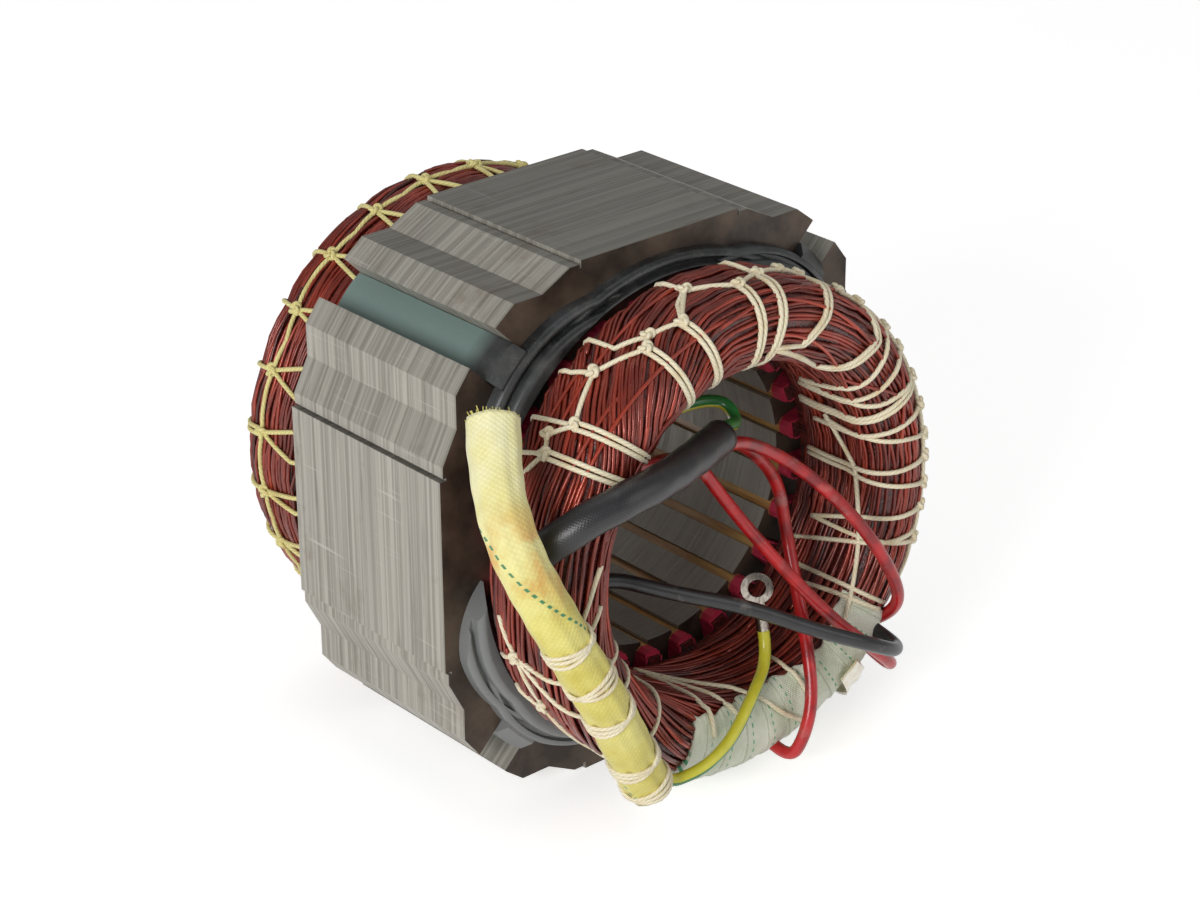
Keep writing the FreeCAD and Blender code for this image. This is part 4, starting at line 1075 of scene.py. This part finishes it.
def beside(point, along, side, angle, radius):
    """A point set off from a centre line, at an angle in the plane across it."""
    up = side.cross(along).normalized()
    turn = math.radians(angle)
    return point + side * (radius * math.cos(turn)) + up * (radius * math.sin(turn))


YELLOW = [at(-45.3, -78.5, -58.7), at(-61.8, -82.3, -28.5), at(-73.6, -81.0, -6.0),
          at(-83.2, -78.5, 12.9), at(-88.2, -73.5, 28.8), at(-84.6, -63.0, 41.0),
          at(-76.6, -52.5, 53.5)]
BLACK = [at(-77.7, -62.2, 13.4), at(-74.2, -70.0, 21.5), at(-64.7, -77.2, 29.8),
         at(-51.6, -81.0, 33.9), at(-30.9, -76.0, 32.7), at(-7.5, -66.0, 31.7)]
MOUTH = BLACK[-1]
OUT_OF_MOUTH = (BLACK[-1] - BLACK[-2]).normalized()
ACROSS_MOUTH = OUT_OF_MOUTH.cross(Vector((0, 0, 1))).normalized()
NEST = BLACK_SLEEVE / 2 - BLACK_WALL - RED / 2 - 0.3 * MM


def from_mouth(angle, rows):
    """A lead's route: its start inside the black sleeve's mouth, then its own points."""
    inner = beside(MOUTH - OUT_OF_MOUTH * 9 * MM, OUT_OF_MOUTH, ACROSS_MOUTH, angle, NEST)
    outer = beside(MOUTH + OUT_OF_MOUTH * 3 * MM, OUT_OF_MOUTH, ACROSS_MOUTH, angle, NEST)
    return [inner, outer] + rows


EYE = at(12.7, -61.0, -24.3)
POINTING = Vector((0.012, -0.218, -0.976)).normalized()
CRIMPED = EYE + POINTING * 12.8 * MM
LEAVING = (YELLOW[0] - YELLOW[1]).normalized()
FLAT = LEAVING.cross(Vector((0, 0, 1))).normalized()
ASIDE = YELLOW_SLEEVE / 2 - YELLOW_WALL - EARTH / 2 - 0.7 * MM

ROUTES = {
    "red_lead_1": from_mouth(-30, [
        at(15.8, -64.0, 19.0), at(29.3, -70.0, 6.5), at(41.1, -77.0, -9.9),
        at(50.8, -80.5, -28.1), at(54.6, -77.5, -39.5), at(53.6, -71.0, -44.5)]),
    "red_lead_2": [
        at(-40.4, -52.0, 31.6), at(-29.9, -52.0, 23.4), at(-8.5, -55.0, 23.5),
        at(3.6, -58.0, 4.2), at(13.0, -66.5, -12.0), at(28.1, -75.5, -33.5),
        at(39.7, -80.0, -45.1), at(51.6, -79.5, -56.1), at(53.0, -74.5, -58.0),
        at(49.8, -69.0, -52.6)],
    "red_lead_3": from_mouth(210, [
        at(11.0, -58.0, 20.3), at(27.1, -54.0, 3.6), at(30.4, -54.5, -14.1),
        at(27.0, -63.0, -29.2), at(20.9, -74.0, -41.7), at(17.2, -80.3, -54.8),
        at(13.2, -81.0, -65.6), at(11.2, -77.5, -73.5),
        at(10.8, -70.5, -71.0)]),
    "green_lead": from_mouth(90, [
        at(5.1, -60.0, 29.6), at(6.3, -54.5, 34.1), at(0.6, -50.0, 35.0),
        at(-12.0, -48.5, 34.5), at(-25.3, -48.0, 34.8), at(-30.2, -48.0, 41.5)]),
    "black_lead": [
        at(-50.9, -52.0, -6.7), at(-39.7, -52.0, -5.2), at(-24.0, -64.0, -11.7),
        at(-2.7, -72.0, -20.3), at(17.0, -80.5, -31.7), at(33.3, -87.0, -39.6),
        at(45.6, -86.0, -46.8), at(51.0, -80.0, -48.5),
        at(49.5, -71.5, -46.0)],
    "earth_lead": [
        beside(YELLOW[0] - LEAVING * 9 * MM, LEAVING, FLAT, 72, ASIDE),
        beside(YELLOW[0] + LEAVING * 4.6 * MM, LEAVING, FLAT, 72, ASIDE),
        at(-29.6, -82.3, -59.0), at(-20.5, -81.5, -56.9), at(-12.7, -79.5, -54.1),
        at(-1.8, -75.0, -48.1), CRIMPED + POINTING * 9 * MM, CRIMPED],
}
LEADS = (
    ("red_lead_1", RED, 0.114, RED_SKIN, "lead_red", "object"),
    ("red_lead_2", RED, 0.146, RED_SKIN, "lead_red", "object"),
    ("red_lead_3", RED, 0.146, RED_SKIN, "lead_red", "object"),
    ("green_lead", EARTH, 0.070, GREEN_SKIN, "lead_earth", "object"),
    ("black_lead", BLACK_LEAD, 0.124, BLACK_SKIN, "lead_black", "object"),
    ("earth_lead", EARTH, 0.080, EARTH_SKIN, "lead_earth", "connector"),
)


def make_lead(name, across, long, material, slot, end):
    line = smooth_line(ROUTES[name])
    made = Made()
    made.tube(line, across / 2, 16)
    piece = made.build(name + "_insulation", material, slot)
    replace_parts(piece, name)


for lead in LEADS:
    make_lead(*lead)

bandage = make_bandage()
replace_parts(bandage.build("bandage", TAPE, "tape"), "head_tape")


def make_film_end():
    """A loose end of film that stands out of the bandage's edge."""
    made = Made()
    over, under, places = [], [], []
    for i in range(15):
        angle = -56.0 + (i / 14 - 0.5) * 7.0
        upper, lower, spots = [], [], []
        for j in range(13):
            share = j / 12
            along = 42.0 - 16.0 * share
            wave = 0.8 * math.sin(i * 0.7 + share * 4) * share
            lift = 3.6 + 6.4 * smooth(share) + wave
            upper.append(head_point(FRONT, angle + 2.0 * share, along, lift + 0.3))
            lower.append(head_point(FRONT, angle + 2.0 * share, along, lift))
            spots.append((i / 14, along))
        over.append(upper)
        under.append(lower)
        places.append(spots)
    made.slab(over, under, places)
    return made.build("film_end", FILM, "tape")


make_film_end()

TIES_AT = (3.0, 14.0, 36.0, 50.0, 64.0)


def yellow_form(run, turn):
    """The yellow sleeve's pleats, its waists under the ties and its open, ragged top."""
    waist = sum(math.exp(-((run - tie) / 2.6) ** 2) for tie in TIES_AT)
    pleats = 0.022 * math.sin(7 * turn + run * 0.11) + 0.014 * math.sin(12 * turn - run * 0.07)
    ripples = 0.02 * math.sin(run * 0.62 + math.sin(turn * 2))
    flare = 0.05 * smooth((run - 112) / 18)
    return 0.985 + pleats * (1 + waist) + ripples * 0.8 - 0.055 * waist + flare


def black_form(run, turn):
    """The black sleeve is flattened a little and rippled."""
    return 0.985 + 0.018 * math.sin(run * 0.5 + turn) + 0.02 * math.cos(2 * turn)


def frayed_ends(made, line, radius, count, long):
    """Single threads that stand out of a sleeve's cut end."""
    ahead = (line[-1] - line[-2]).normalized()
    side, up = carried_sides(line)[-1]
    for n in range(count):
        turn = 2 * math.pi * n / count + DICE.uniform(-0.05, 0.05)
        out = side * math.cos(turn) + up * math.sin(turn)
        reach = long * DICE.uniform(0.4, 1.0)
        lean = DICE.uniform(-0.25, 0.5)
        start = line[-1] + out * radius - ahead * 1.5 * MM
        thread = [start + (ahead + out * lean * i / 5) * (reach * i / 5) for i in range(6)]
        made.tube(thread, 0.16 * MM, 4)


yellow_line = smooth_line(YELLOW, 26)
yellow = Made()
yellow.sleeve(yellow_line, YELLOW_SLEEVE / 2, YELLOW_WALL, 56, yellow_form)
frayed_ends(yellow, yellow_line, YELLOW_SLEEVE / 2 - YELLOW_WALL / 2, 46, 3.2 * MM)
yellow_piece = yellow.build("yellow_braid", YELLOW_BRAID, "sleeve_yellow")
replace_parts(yellow_piece, "yellow_sleeve")

black_line = smooth_line(BLACK, 22)
black = Made()
black.sleeve(black_line, BLACK_SLEEVE / 2, BLACK_WALL, 40, black_form)
frayed_ends(black, black_line, BLACK_SLEEVE / 2 - BLACK_WALL / 2, 30, 1.8 * MM)
black_piece = black.build("black_braid", BLACK_BRAID, "sleeve_black")
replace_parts(black_piece, "black_sleeve")

# ------------------------------------------------------------------------------------------------
# Lacing round the yellow sleeve
# ------------------------------------------------------------------------------------------------


def place_on(line, distance):
    """The point at a distance along a line, and the direction ahead there."""
    left = distance * MM
    for here, there in zip(line, line[1:]):
        step = (there - here).length
        if left <= step:
            return here.lerp(there, left / step), (there - here).normalized()
        left -= step
    return line[-1], (line[-1] - line[-2]).normalized()


def tie(made, distance, lean):
    """A turn of lacing round the sleeve, pulled aslant."""
    centre, ahead = place_on(yellow_line, distance)
    side = ahead.cross(Vector((0, 1, 0))).normalized()
    up = ahead.cross(side)
    reach = YELLOW_SLEEVE / 2 * 0.95 + TIE * 0.7
    line = []
    for i in range(40):
        turn = 2 * math.pi * i / 40
        line.append(centre + (side * math.cos(turn) + up * math.sin(turn)) * reach
                    + ahead * (lean * math.sin(turn + distance) * MM))
    made.tube(line, TIE, 7, 0.5, closed=True)


TIE = 0.6 * MM
ties = Made()
for distance in TIES_AT:
    for lean in (-1.7, 0.4, 2.2):
        tie(ties, distance, lean)
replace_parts(ties.build("sleeve_lacing", LACING, "lacing"), "sleeve_ties")

# ------------------------------------------------------------------------------------------------
# Floor and light
# ------------------------------------------------------------------------------------------------


def make_floor():
    mesh = bpy.data.meshes.new("floor")
    reach = 4.0
    corners = [(-reach, -reach, BENCH), (reach, -reach, BENCH), (reach, reach, BENCH),
               (-reach, reach, BENCH)]
    mesh.from_pydata(corners, [], [(0, 1, 2, 3)])
    material, tree, shader = new_material("floor", 0.9, Specular_IOR_Level=0.1)
    grain = noise(tree, place_of(tree), 8.0)
    tree.links.new(between(tree, grain, shade(250, 250, 250), shade(246, 246, 246)),
                   shader["Base Color"])
    rays = add(tree, "ShaderNodeLightPath").outputs
    seen = sum_of(tree, "MAXIMUM", rays["Is Camera Ray"],
                  sum_of(tree, "MAXIMUM", rays["Is Glossy Ray"], rays["Is Transmission Ray"]))
    shader["Emission Color"].default_value = (1, 1, 1, 1)
    tree.links.new(sum_of(tree, "MULTIPLY", seen, 0.52), shader["Emission Strength"])
    mesh.materials.append(material)
    floor = bpy.data.objects.new("floor", mesh)
    bpy.context.scene.collection.objects.link(floor)


def make_world(strength):
    world = bpy.data.worlds.new("studio")
    bpy.context.scene.world = world
    world.use_nodes = True
    tree = world.node_tree
    background = tree.nodes["Background"]
    rays = add(tree, "ShaderNodeLightPath").outputs
    seen = sum_of(tree, "MAXIMUM", rays["Is Camera Ray"], rays["Is Transmission Ray"])
    background.inputs["Color"].default_value = (1, 1, 1, 1)
    tree.links.new(spread(tree, seen, 0.0, 1.0, strength, 1.0), background.inputs["Strength"])


def lamp(name, place, power, size):
    """A soft square lamp aimed at the part."""
    data = bpy.data.lights.new(name, "AREA")
    data.energy = power
    data.size = size
    item = bpy.data.objects.new(name, data)
    item.location = place
    item.rotation_euler = (-Vector(place)).to_track_quat("-Z", "Y").to_euler()
    bpy.context.scene.collection.objects.link(item)


make_floor()
make_world(0.36)
lamp("key", (-1.25, -0.5, 0.42), 12.0, 0.6)
lamp("fill", (0.6, -1.3, 0.7), 4.0, 1.0)
lamp("top", (0.1, 0.3, 1.4), 1.6, 0.8)
bpy.context.scene.view_settings.view_transform = "Standard"
